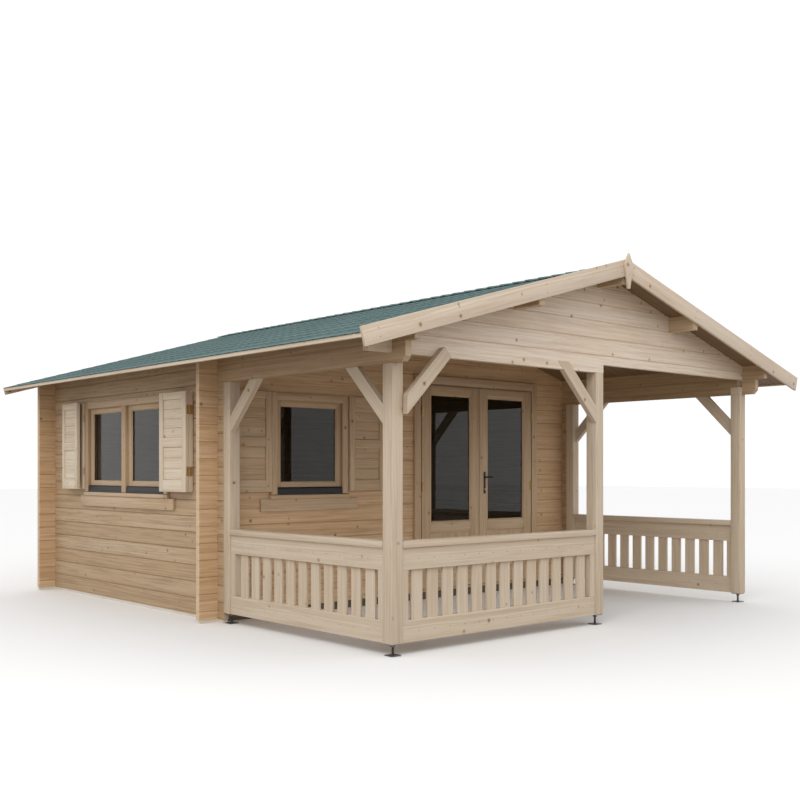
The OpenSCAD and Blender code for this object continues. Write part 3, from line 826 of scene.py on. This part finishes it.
def makeShingles(name, node, side):
    bench = Bench(name)
    low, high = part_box(node)
    bench.place = slopeOf(side)
    floor, butt, row = cabin["roofBoard"], roof["reach"], 0
    # the layer under the tabs: tone 1.0 paints it near black, as painted shade in the slots
    bench.board((0.0, low.y, floor), (butt - 0.012, high.y, floor + roof["under"]), 0, 0, tone=1.0)
    while butt > 0.03:
        top = max(butt - roof["exposure"] - roof["overlap"], 0.002)
        start = low.y - (0.5 * roof["tab"] if row % 2 else 0.0) - 0.04
        lift = roof["lift"] if row else -roof["under"]  # the lowest row lies flat on the eave
        layTabs(bench, start, (low.y, high.y), top, butt, floor, lift)
        butt -= roof["exposure"]
        row += 1
    layCaps(bench, low.y, high.y, side)
    bench.finish(name, "cabin", "shingle", [node], ["shingle"])


gableBoard = {
    "frontDepth": 0.125,
    "rearDepth": 0.070,
    "edge": 0.0025,
    "screwsAlong": (0.10, 1.0, 1.9, 2.62),
    "screwsDown": (0.28, 0.72),     # share of the board's depth
    "screw": 0.004,
}


def makeGableBoards(name, node, front, deep):
    bench = Bench(name)
    low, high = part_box(node)
    thick = high.y - low.y
    reach = high.x / math.cos(cabin["slope"])
    for s in (-1, 1):
        bench.place = slopeOf(s, low.y, high.z)
        v0, v1 = span(s, 0.0, thick)
        bench.board(
            (-0.04, v0, -deep), (reach, v1, 0.0), 0, gableBoard["edge"], 2, [((0, 0, 0), -plumb)], tone=0.15)
        face, way = (0.0, -s) if front else (s * (thick - 0.002), s)
        for u in gableBoard["screwsAlong"]:
            for n in gableBoard["screwsDown"]:
                bench.screw((u, face, -n * deep), (0, way, 0), gableBoard["screw"], 1)
    bench.finish(name, "cabin", "barge_wood", [node], ["barge", "steel"])


def makeEaveBoards():
    bench = Bench("eaves")
    low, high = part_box("eave_boards")
    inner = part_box("right_roof_boards")[1].x
    for x0, x1 in ((low.x, -inner), (inner, high.x)):
        bench.board((x0, low.y, low.z), (x1, high.y, high.z - 0.001), 1, 0.002, 1, tone=0.15)
    bench.finish("eave_boards_edged", "cabin", "barge_wood", ["eave_boards"], ["barge"])


finial = {
    "thick": 0.020,
    "wide": 0.051,
    "shoulder": 0.085,
    "foot": 0.012,
    "edge": 0.003,
    "back": 0.0012,             # how far it stays behind its packed face, for the screws
    "screws": (0.095, 0.165),   # below its point
}


def makeFinial():
    bench = Bench("finial")
    low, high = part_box("finial")
    part = bmesh.new()
    outline = [(0, high.z), (-finial["wide"], high.z - finial["shoulder"]), (-finial["foot"], low.z),
               (finial["foot"], low.z), (finial["wide"], high.z - finial["shoulder"])]
    face = part.faces.new([part.verts.new((x, low.y + finial["back"], z)) for x, z in outline])
    grown = bmesh.ops.extrude_face_region(part, geom=[face])
    moved = [item for item in grown["geom"] if isinstance(item, bmesh.types.BMVert)]
    bmesh.ops.translate(part, vec=(0, finial["thick"] - finial["back"], 0), verts=moved)
    bmesh.ops.recalc_face_normals(part, faces=part.faces)
    easeEdges(part, finial["edge"], 2)
    bench.put(part, 2, 0, tone=0.1)
    for drop in finial["screws"]:
        bench.screw((0, low.y + finial["back"], high.z - drop), (0, -1, 0), gableBoard["screw"], 1)
    bench.finish("finial_lozenge", "cabin", "barge_wood", ["finial"], ["barge", "steel"])


makePurlins()
makeRoofBoards("roof_boards_left", "left_roof_boards", -1)
makeRoofBoards("roof_boards_right", "right_roof_boards", 1)
makeShingles("shingles_left", "left_shingles", -1)
makeShingles("shingles_right", "right_shingles", 1)
makeGableBoards("bargeboards_front", "front_bargeboards", True, gableBoard["frontDepth"])
makeGableBoards("fascia_rear", "rear_fascia", False, gableBoard["rearDepth"])
makeEaveBoards()
makeFinial()
print("roof made")


# ---- Windows, drawn facing -Y with the wall's face at y = 0

window = {
    "paneWide": 0.600,
    "paneHigh": 0.652,
    "paneFoot": 1.110,
    "stile": 0.055,
    "rail": 0.050,
    "frameThick": 0.028,
    "mullion": 0.076,
    "trimWide": 0.062,
    "trimThick": 0.025,
    "trimOver": 0.028,      # how far the trim stands past the frame
    "trimEdge": 0.003,
    "frameEdge": 0.001,
    "sillHigh": 0.039,
    "sillOut": 0.034,
    "sillOver": 0.012,
    "sillEdge": 0.006,
    "sillFall": 0.17,
    "apronHigh": 0.100,
    "apronOver": 0.100,
    "apronBack": 0.003,
    "depth": 0.050,
    "sashBack": 0.006,
    "sashThick": 0.040,
    "sashEdge": 0.0025,
    "play": 0.0018,
    "bead": 0.009,
    "beadBack": 0.004,
    "stripHigh": 0.061,
    "stripOut": 0.020,
    "stripFoot": 0.012,
    "stripStep": 0.004,
}
window["sashWide"] = window["paneWide"] + 2 * window["stile"]
window["holeFoot"] = window["paneFoot"] - window["rail"] - window["frameThick"]
window["holeTop"] = window["paneFoot"] + window["paneHigh"] + window["rail"] + window["frameThick"]
window["sillFoot"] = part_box("porch_window_frame")[0].z + window["apronHigh"]


def placeOf(node):
    # the window's own frame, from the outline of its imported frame
    low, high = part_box(node)
    if node == "side_window_frame":
        middle = Matrix.Translation((-cabin["halfWidth"], (low.y + high.y) / 2, 0))
        return middle @ Matrix.Rotation(-math.pi / 2, 4, "Z")
    return Matrix.Translation(((low.x + high.x) / 2, cabin["wallFront"], 0))


def halfTrim(double):
    # half the width over the trim of a double window or a single one
    w = window
    sashes = 2 * w["sashWide"] + w["mullion"] if double else w["sashWide"]
    return sashes / 2 + w["frameThick"] + w["trimOver"]


def makeWindowFrame(name, node, double):
    w = window
    bench = Bench(name)
    bench.place = placeOf(node)
    trim = halfTrim(double)
    half = trim - w["trimOver"]
    foot, top, head = w["holeFoot"], w["holeTop"], w["holeTop"] + w["trimOver"]
    sillTop = w["sillFoot"] + w["sillHigh"]

    def lining(x0, x1, z0, z1, along):
        bench.board((x0, 0, z0), (x1, w["depth"], z1), along, w["frameEdge"])

    def trimming(x0, x1, z0, z1, along):
        bench.board((x0, -w["trimThick"], z0), (x1, 0, z1), along, w["trimEdge"], 2)

    for s in (-1, 1):
        lining(*span(s, half, half - w["frameThick"]), foot, top, 2)
        trimming(*span(s, trim, trim - w["trimWide"]), sillTop, head, 2)
    inner = half - w["frameThick"]
    lining(-inner, inner, foot, foot + w["frameThick"], 0)
    lining(-inner, inner, top - w["frameThick"], top, 0)
    inner = trim - w["trimWide"]
    trimming(-inner, inner, head - w["trimWide"], head, 0)
    if double:
        m = w["mullion"] / 2
        trimming(-m, m, sillTop, head - w["trimWide"], 2)
        lining(-m, m, foot + w["frameThick"], top - w["frameThick"], 2)
    over = trim + w["sillOver"]
    bench.board((-over, -w["sillOut"], w["sillFoot"]), (over, 0, sillTop), 0, w["sillEdge"], 3, [
        ((0, -w["sillOut"], sillTop - w["sillEdge"]), (0, -w["sillFall"], 1))])
    over = trim + w["apronOver"]
    bench.board(
        (-over, w["apronBack"] - w["trimThick"], w["sillFoot"] - w["apronHigh"]), (over, 0, w["sillFoot"]),
        0, w["trimEdge"], 2)
    bench.finish(name, "cabin", "joinery_wood", [node], ["joinery"])


def sashMiddles():
    aside = (window["sashWide"] + window["mullion"]) / 2
    return [("side_window_frame", -aside), ("side_window_frame", aside), ("porch_window_frame", 0.0)]


glazing = {
    "beadThick": 0.011,
    "beadEdge": 0.0008,
    "beadSlant": 0.35,      # share of the bead's width that is chamfered off
    "halfPane": 0.003,
    "spacerWide": 0.007,
    "spacerIn": 0.002,      # how far the spacer starts behind the bead's edge
    "spacerThick": 0.004,
    "spacerOff": 0.0035,
}


def makeBeads(bench, x0, x1, z0, z1, y0, y1, wide):
    # chamfered strips round an opening, on both sides
    g, slant = glazing, wide * glazing["beadSlant"]
    for low, high, lean in ((y0, y0 + g["beadThick"], -1), (y1 - g["beadThick"], y1, 1)):
        edge = low if lean < 0 else high
        for start, end, along, point, way in (
                ((x0, z0), (x0 + wide, z1), 2, (x0 + slant, 0), (1, 0)),
                ((x1 - wide, z0), (x1, z1), 2, (x1 - slant, 0), (-1, 0)),
                ((x0 + wide, z0), (x1 - wide, z0 + wide), 0, (0, z0 + slant), (0, 1)),
                ((x0 + wide, z1 - wide), (x1 - wide, z1), 0, (0, z1 - slant), (0, -1))):
            bench.board((start[0], low, start[1]), (end[0], high, end[1]), along, g["beadEdge"], 1, [
                ((point[0], edge, point[1]), (way[0], lean, way[1]))])


def makePane(bench, x0, x1, z0, z1, middle, bead):
    # the glass, and a pale bar round its edge just inside the beads
    g = glazing
    bench.board((x0, middle - g["halfPane"], z0), (x1, middle + g["halfPane"], z1), 2, 0)
    a = bead - g["spacerIn"]
    b, y = a + g["spacerWide"], middle + g["spacerOff"]
    for low, high in (((x0 + a, z0 + a), (x0 + b, z1 - a)), ((x1 - b, z0 + a), (x1 - a, z1 - a)),
                      ((x0 + b, z0 + a), (x1 - b, z0 + b)), ((x0 + b, z1 - b), (x1 - b, z1 - a))):
        bench.board((low[0], y, low[1]), (high[0], y + g["spacerThick"], high[1]), 2, 0, material=1)


def makeSashes():
    w = window
    bench = Bench("sashes")
    half, inner, play = w["sashWide"] / 2, w["paneWide"] / 2, w["play"]
    y0, y1 = w["sashBack"], w["sashBack"] + w["sashThick"]
    foot, top = w["paneFoot"], w["paneFoot"] + w["paneHigh"]
    z0, z1 = foot - w["rail"] + play, top + w["rail"] - play
    for node, x in sashMiddles():
        bench.place = placeOf(node) @ Matrix.Translation((x, 0, 0))
        for s in (-1, 1):
            x0, x1 = span(s, half - play, half - w["stile"])
            bench.board((x0, y0, z0), (x1, y1, z1), 2, w["sashEdge"], 2)
        bench.board((-inner, y0, z0), (inner, y1, foot), 0, w["sashEdge"], 2)
        bench.board((-inner, y0, top), (inner, y1, z1), 0, w["sashEdge"], 2)
        makeBeads(bench, -inner, inner, foot, top, y0 + w["beadBack"], y1 - w["beadBack"], w["bead"])
    bench.finish("window_sashes_beaded", "cabin", "joinery_wood", ["window_sashes"], ["joinery"])


def makeWindowGlass():
    w = window
    bench = Bench("glass")
    inner, foot = w["paneWide"] / 2, w["paneFoot"]
    for node, x in sashMiddles():
        bench.place = placeOf(node) @ Matrix.Translation((x, 0, 0))
        makePane(
            bench, -inner, inner, foot, foot + w["paneHigh"], w["sashBack"] + w["sashThick"] / 2, w["bead"])
    bench.finish("window_panes", "cabin", "glass", ["window_glass"], ["glass", "spacer"])


def makeStrips():
    w = window
    bench = Bench("strips")
    sillTop = w["sillFoot"] + w["sillHigh"]
    top = sillTop + w["stripHigh"]
    m, half = w["mullion"] / 2, halfTrim(False) - w["trimWide"]
    out, step = -w["stripOut"], w["stripStep"]
    end = halfTrim(True) - w["trimWide"]
    for node, x0, x1 in (
            ("side_window_frame", m, end), ("side_window_frame", -end, -m),
            ("porch_window_frame", -half, half)):
        bench.place = placeOf(node)
        bench.board((x0, out + step, sillTop), (x1, 0, top), 0, 0.0015, 1, [
            ((0, out + step, top - 0.010), (0, -0.9, 1))])
        bench.board(
            (x0, out, sillTop), (x1, out + step + 0.0005, sillTop + w["stripFoot"]), 0, 0.001, 1)
    bench.finish("drip_strips_folded", "cabin", "strip_metal", ["drip_strips"], ["strip"])


makeWindowFrame("window_frame_side", "side_window_frame", True)
makeWindowFrame("window_frame_porch", "porch_window_frame", False)
makeSashes()
makeWindowGlass()
makeStrips()
print("windows made")


# ---- Shutters, drawn with the leaf's lower corner at the origin, its outer face towards -Y

shutter = {
    "thick": 0.035,
    "foot": 1.035,
    "high": 0.835,
    "stile": 0.058,
    "lowRail": 0.100,
    "midFoot": 0.375,
    "midTop": 0.455,
    "topRail": 0.062,
    "panelIn": 0.010,
    "edge": 0.0025,
    "boardEdge": 0.003,
    "boardGap": 0.0003,
    "gap": 0.005,           # between the leaf and the trim
    "meet": 0.008,          # how much less than half the window a porch leaf covers
    "foldMeet": 0.005,
    "lean": 4.0,            # degrees that the outer leaf stands open
    "leafGap": 0.002,
    "barrel": 0.0045,
    "barrelOut": 0.010,
    "barrelHigh": 0.070,
    "barrels": (0.135, 0.648),
    "hingePlate": 0.078,
    "hingeScrews": (0.012, 0.036, 0.060),
}


def makeLeaf(bench, wide):
    k = shutter
    t, high, stile = k["thick"], k["high"], k["stile"]
    for x in (0.0, wide - stile):
        bench.board((x, 0, 0), (x + stile, t, high), 2, k["edge"], 2)
    x0, x1 = stile, wide - stile
    for z0, z1 in ((0, k["lowRail"]), (k["midFoot"], k["midTop"]), (high - k["topRail"], high)):
        bench.board((x0, 0, z0), (x1, t, z1), 0, k["edge"], 2)
    for z0, z1, count in ((k["lowRail"], k["midFoot"], 3), (k["midTop"], high - k["topRail"], 4)):
        tall = (z1 - z0) / count
        for i in range(count):
            low, top = z0 + i * tall + k["boardGap"], z0 + (i + 1) * tall - k["boardGap"]
            bench.board((x0, k["panelIn"], low), (x1, t - k["panelIn"], top), 0, k["boardEdge"], 1)


def makeBarrels(bench, x, y, z, radius, high):
    # three knuckles and a pin head
    each = high / 3
    for i in range(3):
        bench.rod((x, y, z + i * each + 0.0004), (0, 0, 1), radius, each - 0.0008, 14, 0.0006, 1)
    for end, way in ((z + high, 1), (z, -1)):
        bench.rod((x, y, end), (0, 0, way), radius * 0.7, 0.002, 12, 0.0006, 1)


def shutterPlace(node, side):
    return placeOf(node) @ Matrix.Scale(side, 4, (1, 0, 0))


def hangLeaf(bench, base, trim, wide):
    # the leaf beside the window
    k = shutter
    bench.place = base @ Matrix.Translation((trim + k["gap"], -k["thick"] - k["gap"], k["foot"]))
    makeLeaf(bench, wide)


def makeShutterBarrels(bench, trim, z):
    k = shutter
    makeBarrels(
        bench, trim + k["gap"] / 2, -window["trimThick"] - k["barrelOut"], z, k["barrel"], k["barrelHigh"])


def makePorchShutter(name, node, body, side):
    k = shutter
    bench = Bench(name)
    trim = halfTrim(False)
    base = shutterPlace("porch_window_frame", side)
    hangLeaf(bench, base, trim, trim - k["meet"])
    bench.place = base
    for z in k["barrels"]:
        makeShutterBarrels(bench, trim, k["foot"] + z)
    # the porch leaves take the darker joinery finish, not the shutter finish: painted shade of the porch
    bench.finish(name, body, "shutter_wood", [node], ["joinery", "hinge"])


def makeFoldedShutter(name, node, side):
    # a leaf against the wall and a second one folded back over it, joined by plate hinges
    k = shutter
    bench = Bench(name)
    trim = halfTrim(True)
    wide = trim / 2 - k["foldMeet"]
    base = shutterPlace("side_window_frame", side)
    hangLeaf(bench, base, trim, wide)
    end, back = trim + k["gap"] + wide, -k["thick"] - k["gap"]
    bench.place = (base @ Matrix.Translation((end, back - k["leafGap"], k["foot"]))
                   @ Matrix.Rotation(math.radians(k["lean"]), 4, "Z")
                   @ Matrix.Translation((-wide, -k["thick"], 0)))
    makeLeaf(bench, wide)
    bench.place = base
    mid = back - k["leafGap"] / 2
    for z in k["barrels"]:
        foot = k["foot"] + z
        makeShutterBarrels(bench, trim, foot)
        low = foot - 0.004
        for y0, y1 in ((mid + 0.002, mid + 0.032), (mid - 0.032, mid - 0.002)):
            bench.board(
                (end - 0.0005, y0, low), (end + 0.0018, y1, low + k["hingePlate"]), 2, 0.0006, 1, material=1)
            for dz in k["hingeScrews"]:
                bench.screw((end + 0.0018, (y0 + y1) / 2, foot + dz), (1, 0, 0), 0.0038, 1)
        makeBarrels(bench, end + 0.0025, mid, low, 0.0042, k["hingePlate"])
    bench.finish(name, "cabin", "shutter_wood", [node], ["shutter", "hinge"])


makePorchShutter("shutter_porch_left", "porch_shutter_left", "left_shutter", -1)
makePorchShutter("shutter_porch_right", "porch_shutter_right", "right_shutter", 1)
makeFoldedShutter("shutters_side_front", "side_shutter_front", 1)
makeFoldedShutter("shutters_side_rear", "side_shutter_rear", -1)
print("shutters made")


# ---- Door, drawn with the wall's face at y = 0 and the doorway's middle at x = 0

door = {
    "inner": 0.776,
    "jamb": 0.040,
    "jambEdge": 0.0015,
    "frameFoot": 0.062,
    "headFoot": 2.030,
    "depth": 0.050,
    "trimBack": 0.009,
    "trimWide": 0.078,
    "trimThick": 0.025,
    "edge": 0.003,
    "sillThick": 0.028,
    "meet": 0.004,
    "leafWide": 0.767,
    "leafFoot": 0.095,
    "leafTop": 2.025,
    "front": -0.022,
    "thick": 0.040,
    "stile": 0.116,
    "topRail": 0.085,
    "midFoot": 0.625,
    "glassFoot": 0.720,
    "footRail": 0.150,
    "panelIn": 0.012,
    "fieldIn": 0.030,
    "fieldSlope": 0.022,
    "fieldHigh": 0.006,
    "bead": 0.012,
    "beadBack": 0.003,
    "hingeX": 0.7735,
    "hingeY": -0.030,
    "barrel": 0.007,
    "barrelHigh": 0.090,
    "barrels": (0.300, 1.015, 1.730),
    "plateThick": 0.003,
    "plateWide": 0.030,
    "plateScrews": (0.015, 0.045, 0.075),
    "screwIn": 0.019,
}


def doorPlace(side=1):
    low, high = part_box("door_frame")
    middle = Matrix.Translation(((low.x + high.x) / 2, cabin["wallFront"], 0))
    return middle @ Matrix.Scale(side, 4, (1, 0, 0))


def makeDoorFrame():
    d = door
    bench = Bench("door frame")
    inner, head = d["inner"], d["headFoot"]
    jambOut, trimIn = inner + d["jamb"], inner + d["trimBack"]
    trimOut, trimHead = trimIn + d["trimWide"], head + d["trimBack"]
    headTop, trimTop = head + d["jamb"], trimHead + d["trimWide"]
    foot, thick = d["frameFoot"], d["trimThick"]
    for s in (-1, 1):
        bench.place = doorPlace(s)
        bench.board((inner, 0, foot), (jambOut, d["depth"], headTop), 2, d["jambEdge"])
        bench.board((trimIn, -thick, foot), (trimOut, 0, trimTop), 2, d["edge"], 2)
    bench.place = doorPlace()
    bench.board((-inner, 0, head), (inner, d["depth"], headTop), 0, d["jambEdge"])
    bench.board((-inner, 0, foot), (inner, d["depth"], foot + d["sillThick"]), 0, d["edge"])
    bench.board((-trimIn, -thick, trimHead), (trimIn, 0, trimTop), 0, d["edge"], 2)
    bench.finish("doorway_frame", "cabin", "joinery_wood", ["door_frame"], ["joinery"])


def makeDoorLeaf(name, node, body, side):
    d = door
    bench = Bench(name)
    bench.place = doorPlace(side)
    x0, x1 = d["meet"], d["meet"] + d["leafWide"]
    y0, y1 = d["front"], d["front"] + d["thick"]
    z0, z1 = d["leafFoot"], d["leafTop"]
    for x in (x0, x1 - d["stile"]):
        bench.board((x, y0, z0), (x + d["stile"], y1, z1), 2, d["edge"], 2)
    a, b = x0 + d["stile"], x1 - d["stile"]
    footTop, glassTop = z0 + d["footRail"], z1 - d["topRail"]
    for low, high in ((z0, footTop), (d["midFoot"], d["glassFoot"]), (glassTop, z1)):
        bench.board((a, y0, low), (b, y1, high), 0, d["edge"], 2)
    # lower panel with a raised field
    panel = block((a, y0 + d["panelIn"], footTop), (b, y1 - d["panelIn"], d["midFoot"]))
    for face in [f for f in panel.faces if abs(f.normal.y) > 0.5]:
        bmesh.ops.inset_individual(panel, faces=[face], thickness=d["fieldIn"], depth=0.0)
        bmesh.ops.inset_individual(panel, faces=[face], thickness=d["fieldSlope"], depth=d["fieldHigh"])
    bench.put(panel, 2, 0)
    for low, high in ((footTop, d["midFoot"]), (d["glassFoot"], glassTop)):
        makeBeads(bench, a, b, low, high, y0 + d["beadBack"], y1 - d["beadBack"], d["bead"])
    plate = y0 - d["plateThick"]
    for z in d["barrels"]:
        makeBarrels(bench, d["hingeX"], d["hingeY"], z, d["barrel"], d["barrelHigh"])
        bench.board(
            (d["hingeX"] - d["plateWide"], plate, z), (d["hingeX"], y0, z + d["barrelHigh"]), 2, 0.0008, 1,
            material=1)
        for dz in d["plateScrews"]:
            bench.screw((d["hingeX"] - d["screwIn"], plate, z + dz), (0, -1, 0), 0.004, 1)
    bench.finish(name, body, "joinery_wood", [node], ["joinery", "hinge"])


def makeDoorGlass(name, node, body, side):
    d = door
    bench = Bench(name)
    bench.place = doorPlace(side)
    makePane(
        bench, d["meet"] + d["stile"], d["meet"] + d["leafWide"] - d["stile"],
        d["glassFoot"], d["leafTop"] - d["topRail"], d["front"] + d["thick"] / 2, d["bead"])
    bench.finish(name, body, "glass", [node], ["glass", "spacer"])


handle = {
    "x": 0.076,
    "foot": 0.983,
    "plateWide": 0.026,
    "plateHigh": 0.220,
    "plateThick": 0.005,
    "corner": 0.0125,
    "lever": 0.165,
    "neck": 0.0075,
    "lock": 0.045,
    "screws": 0.018,
    # the lever's middle line and its thickness there
    "path": ((0, 0, 0, 1), (0, -0.018, 0, 1), (0.002, -0.026, 0, 1.02), (0.009, -0.031, 0, 1.05),
             (0.020, -0.033, 0, 1.0), (0.045, -0.0335, 0.001, 0.92), (0.068, -0.0325, 0.001, 0.88),
             (0.080, -0.0295, 0, 0.85), (0.0845, -0.027, 0, 0.55)),
}


def makeLever():
    # a ring pushed out along its path
    lever = bmesh.new()
    path = handle["path"]
    spots = [Vector(p[:3]) for p in path]
    heading = spots[1] - spots[0]
    ring = bmesh.ops.create_circle(lever, segments=14, radius=handle["neck"], cap_ends=True)["verts"]
    turn = Vector((0, 0, 1)).rotation_difference(heading).to_matrix()
    bmesh.ops.rotate(lever, cent=(0, 0, 0), matrix=turn, verts=ring)
    for i in range(1, len(spots)):
        rim = [e for e in lever.edges if all(v in ring for v in e.verts)]
        grown = bmesh.ops.extrude_edge_only(lever, edges=rim)["geom"]
        ring = [item for item in grown if isinstance(item, bmesh.types.BMVert)]
        ahead = spots[min(i + 1, len(spots) - 1)] - spots[i - 1]
        middle = sum((v.co for v in ring), Vector()) / len(ring)
        bmesh.ops.translate(lever, vec=spots[i] - middle, verts=ring)
        turn = heading.rotation_difference(ahead).to_matrix()
        bmesh.ops.rotate(lever, cent=spots[i], matrix=turn, verts=ring)
        grow = path[i][3] / path[i - 1][3]
        bmesh.ops.scale(lever, vec=(grow,) * 3, space=Matrix.Translation(-spots[i]), verts=ring)
        heading = ahead
    bmesh.ops.holes_fill(lever, edges=[e for e in lever.edges if e.is_boundary])
    bmesh.ops.recalc_face_normals(lever, faces=lever.faces)
    return lever


def makeHandle():
    d, h = door, handle
    bench = Bench("handle")
    half, face, lock = h["plateWide"] / 2, -h["plateThick"], h["lock"]
    for way in (1, -1):
        bench.place = (doorPlace() @ Matrix.Translation((h["x"], d["front"] + d["thick"] / 2, h["foot"]))
                       @ Matrix.Scale(way, 4, (0, 1, 0)) @ Matrix.Translation((0, -d["thick"] / 2, 0)))
        plate = block((-half, face, 0), (half, 0, h["plateHigh"]))
        corners = [e for e in plate.edges if abs(e.verts[0].co.y - e.verts[1].co.y) > 0.001]
        easeEdges(plate, h["corner"], 6, corners)
        front = [e for e in plate.edges if all(v.co.y < face + 1e-5 for v in e.verts)]
        easeEdges(plate, 0.0014, 2, front)
        bench.put(plate, 2)
        bench.rod((0, face, h["lever"]), (0, -1, 0), 0.0105, 0.005, 20, 0.0012)
        lever = makeLever()
        bmesh.ops.translate(lever, vec=(0, face, h["lever"]), verts=lever.verts)
        bench.put(lever, 0)
        bench.rod((0, face, lock), (0, -1, 0), 0.0085, 0.0065, 20, 0.001, 1)
        bench.board((-0.0012, face - 0.0070, lock - 0.005), (0.0012, face - 0.0060, lock + 0.005), 2, 0)
        for z in (h["screws"], h["plateHigh"] - h["screws"]):
            bench.screw((0, face, z), (0, -1, 0), 0.0035)
    bench.finish("door_lever_set", "right_leaf", "handle_metal", ["door_handle"], ["handle", "brass"])


makeDoorFrame()
makeDoorLeaf("door_leaf_left", "left_door", "left_leaf", -1)
makeDoorLeaf("door_leaf_right", "right_door", "right_leaf", 1)
makeDoorGlass("door_pane_left", "left_door_glass", "left_leaf", -1)
makeDoorGlass("door_pane_right", "right_door_glass", "right_leaf", 1)
makeHandle()
print("door made")


# ---- Floor and bearers

floorBoard = {"wide": 0.121, "gap": 0.0004, "edge": 0.0018}
bearer = {
    "frontDepth": 0.060,    # the dark stretch under the front wall, from its face
    "endIn": 0.052,
    "pale": (0.80, 0.78, 0.72),
}


def makeFloor():
    bench = Bench("floor")
    low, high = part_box("floor_boards")
    y, gap = low.y, floorBoard["gap"]
    while y < high.y - 0.01:
        end = min(y + floorBoard["wide"], high.y)
        bench.board((low.x, y + gap, low.z), (high.x, end - gap, high.z), 0, floorBoard["edge"])
        y = end
    bench.finish("floor_boarding", "cabin", "floor_wood", ["floor_boards"], ["joinery"])


def treatedFinish():
    finish = Finish("treated_bearers")
    x, y, z = finish.split(finish.place())
    tone = finish.chance((y * 8.0).whole())
    colour, height, rough = spruce(finish, x, y, z, tone, tone * 0.2, looks["treated"])
    inFront = (y.below(cabin["wallFront"] + bearer["frontDepth"])
               * x.size().below(cabin["halfWidth"] - bearer["endIn"]))
    pale = finish.mix(0.5 + tone * 0.2, looks["side"]["pale"], bearer["pale"])
    finish.give("Base Color", finish.mix(inFront, pale, colour))
    finish.give("Roughness", rough)
    finish.bump(height, 0.4, 0.0015)
    return finish.material


makeFloor()
coat("bearers", treatedFinish())
print("floor made")


# ---- Studio

studio = {
    "lens": 46.76,
    "turn": 41.57,
    "shift": 0.0881,
    "place": (-6.603, cabin["postFront"] - 5.076, 1.214),
    "floor": (0.90, 0.90, 0.90),
    "sky": 1.05,
    "bounce": (0.40, 0.355, 0.305),     # colour of the light from below
    "dusk": (-0.14, -0.03),             # heights between which the sky turns into it
    "key": 420.0,
    "keyPlace": (-9.0, -8.0, 9.0),
    "keySize": 7.0,
}


def makeStudio():
    scene = bpy.context.scene
    scene.view_settings.view_transform = "Standard"
    camera = bpy.data.cameras.new("camera")
    camera.lens, camera.sensor_width = studio["lens"], 36.0
    camera.shift_y = studio["shift"]
    camera.clip_end = 200.0
    holder = bpy.data.objects.new("camera", camera)
    holder.location = studio["place"]
    holder.rotation_euler = (math.pi / 2, 0, -math.radians(studio["turn"]))
    scene.collection.objects.link(holder)
    scene.camera = holder

    ground = bmesh.new()
    bmesh.ops.create_grid(ground, x_segments=1, y_segments=1, size=60.0)
    bmesh.ops.translate(ground, vec=(0, 0, -0.001), verts=ground.verts)
    mesh = bpy.data.meshes.new("studio_floor")
    ground.to_mesh(mesh)
    ground.free()
    floor = bpy.data.objects.new("studio_floor", mesh)
    scene.collection.objects.link(floor)
    finish = Finish("studio_floor", Roughness=0.9)
    finish.give("Base Color", studio["floor"])
    mesh.materials.append(finish.material)
    floor.visible_diffuse = False  # the light from below comes from the warm lower half of the sky

    world = bpy.data.worlds.new("studio_sky")
    world.use_nodes = True
    tree = world.node_tree
    height = tree.nodes.new("ShaderNodeSeparateXYZ")
    tree.links.new(tree.nodes.new("ShaderNodeTexCoord").outputs["Generated"], height.inputs[0])
    half = tree.nodes.new("ShaderNodeValToRGB")
    half.color_ramp.elements[0].color = (*studio["bounce"], 1.0)
    half.color_ramp.elements[1].color = (1.0, 1.0, 1.0, 1.0)
    level = tree.nodes.new("ShaderNodeMapRange")
    level.inputs["From Min"].default_value, level.inputs["From Max"].default_value = studio["dusk"]
    tree.links.new(height.outputs["Z"], level.inputs[0])
    tree.links.new(level.outputs[0], half.inputs[0])
    tree.links.new(half.outputs[0], tree.nodes["Background"].inputs[0])
    tree.nodes["Background"].inputs[1].default_value = studio["sky"]
    scene.world = world

    lamp = bpy.data.lights.new("key", "AREA")
    lamp.energy, lamp.size = studio["key"], studio["keySize"]
    key = bpy.data.objects.new("key", lamp)
    key.location = studio["keyPlace"]
    aim = Vector((0, 0, 1.0)) - Vector(studio["keyPlace"])
    key.rotation_euler = aim.to_track_quat("-Z", "Y").to_euler()
    scene.collection.objects.link(key)


makeStudio()
print("studio made")
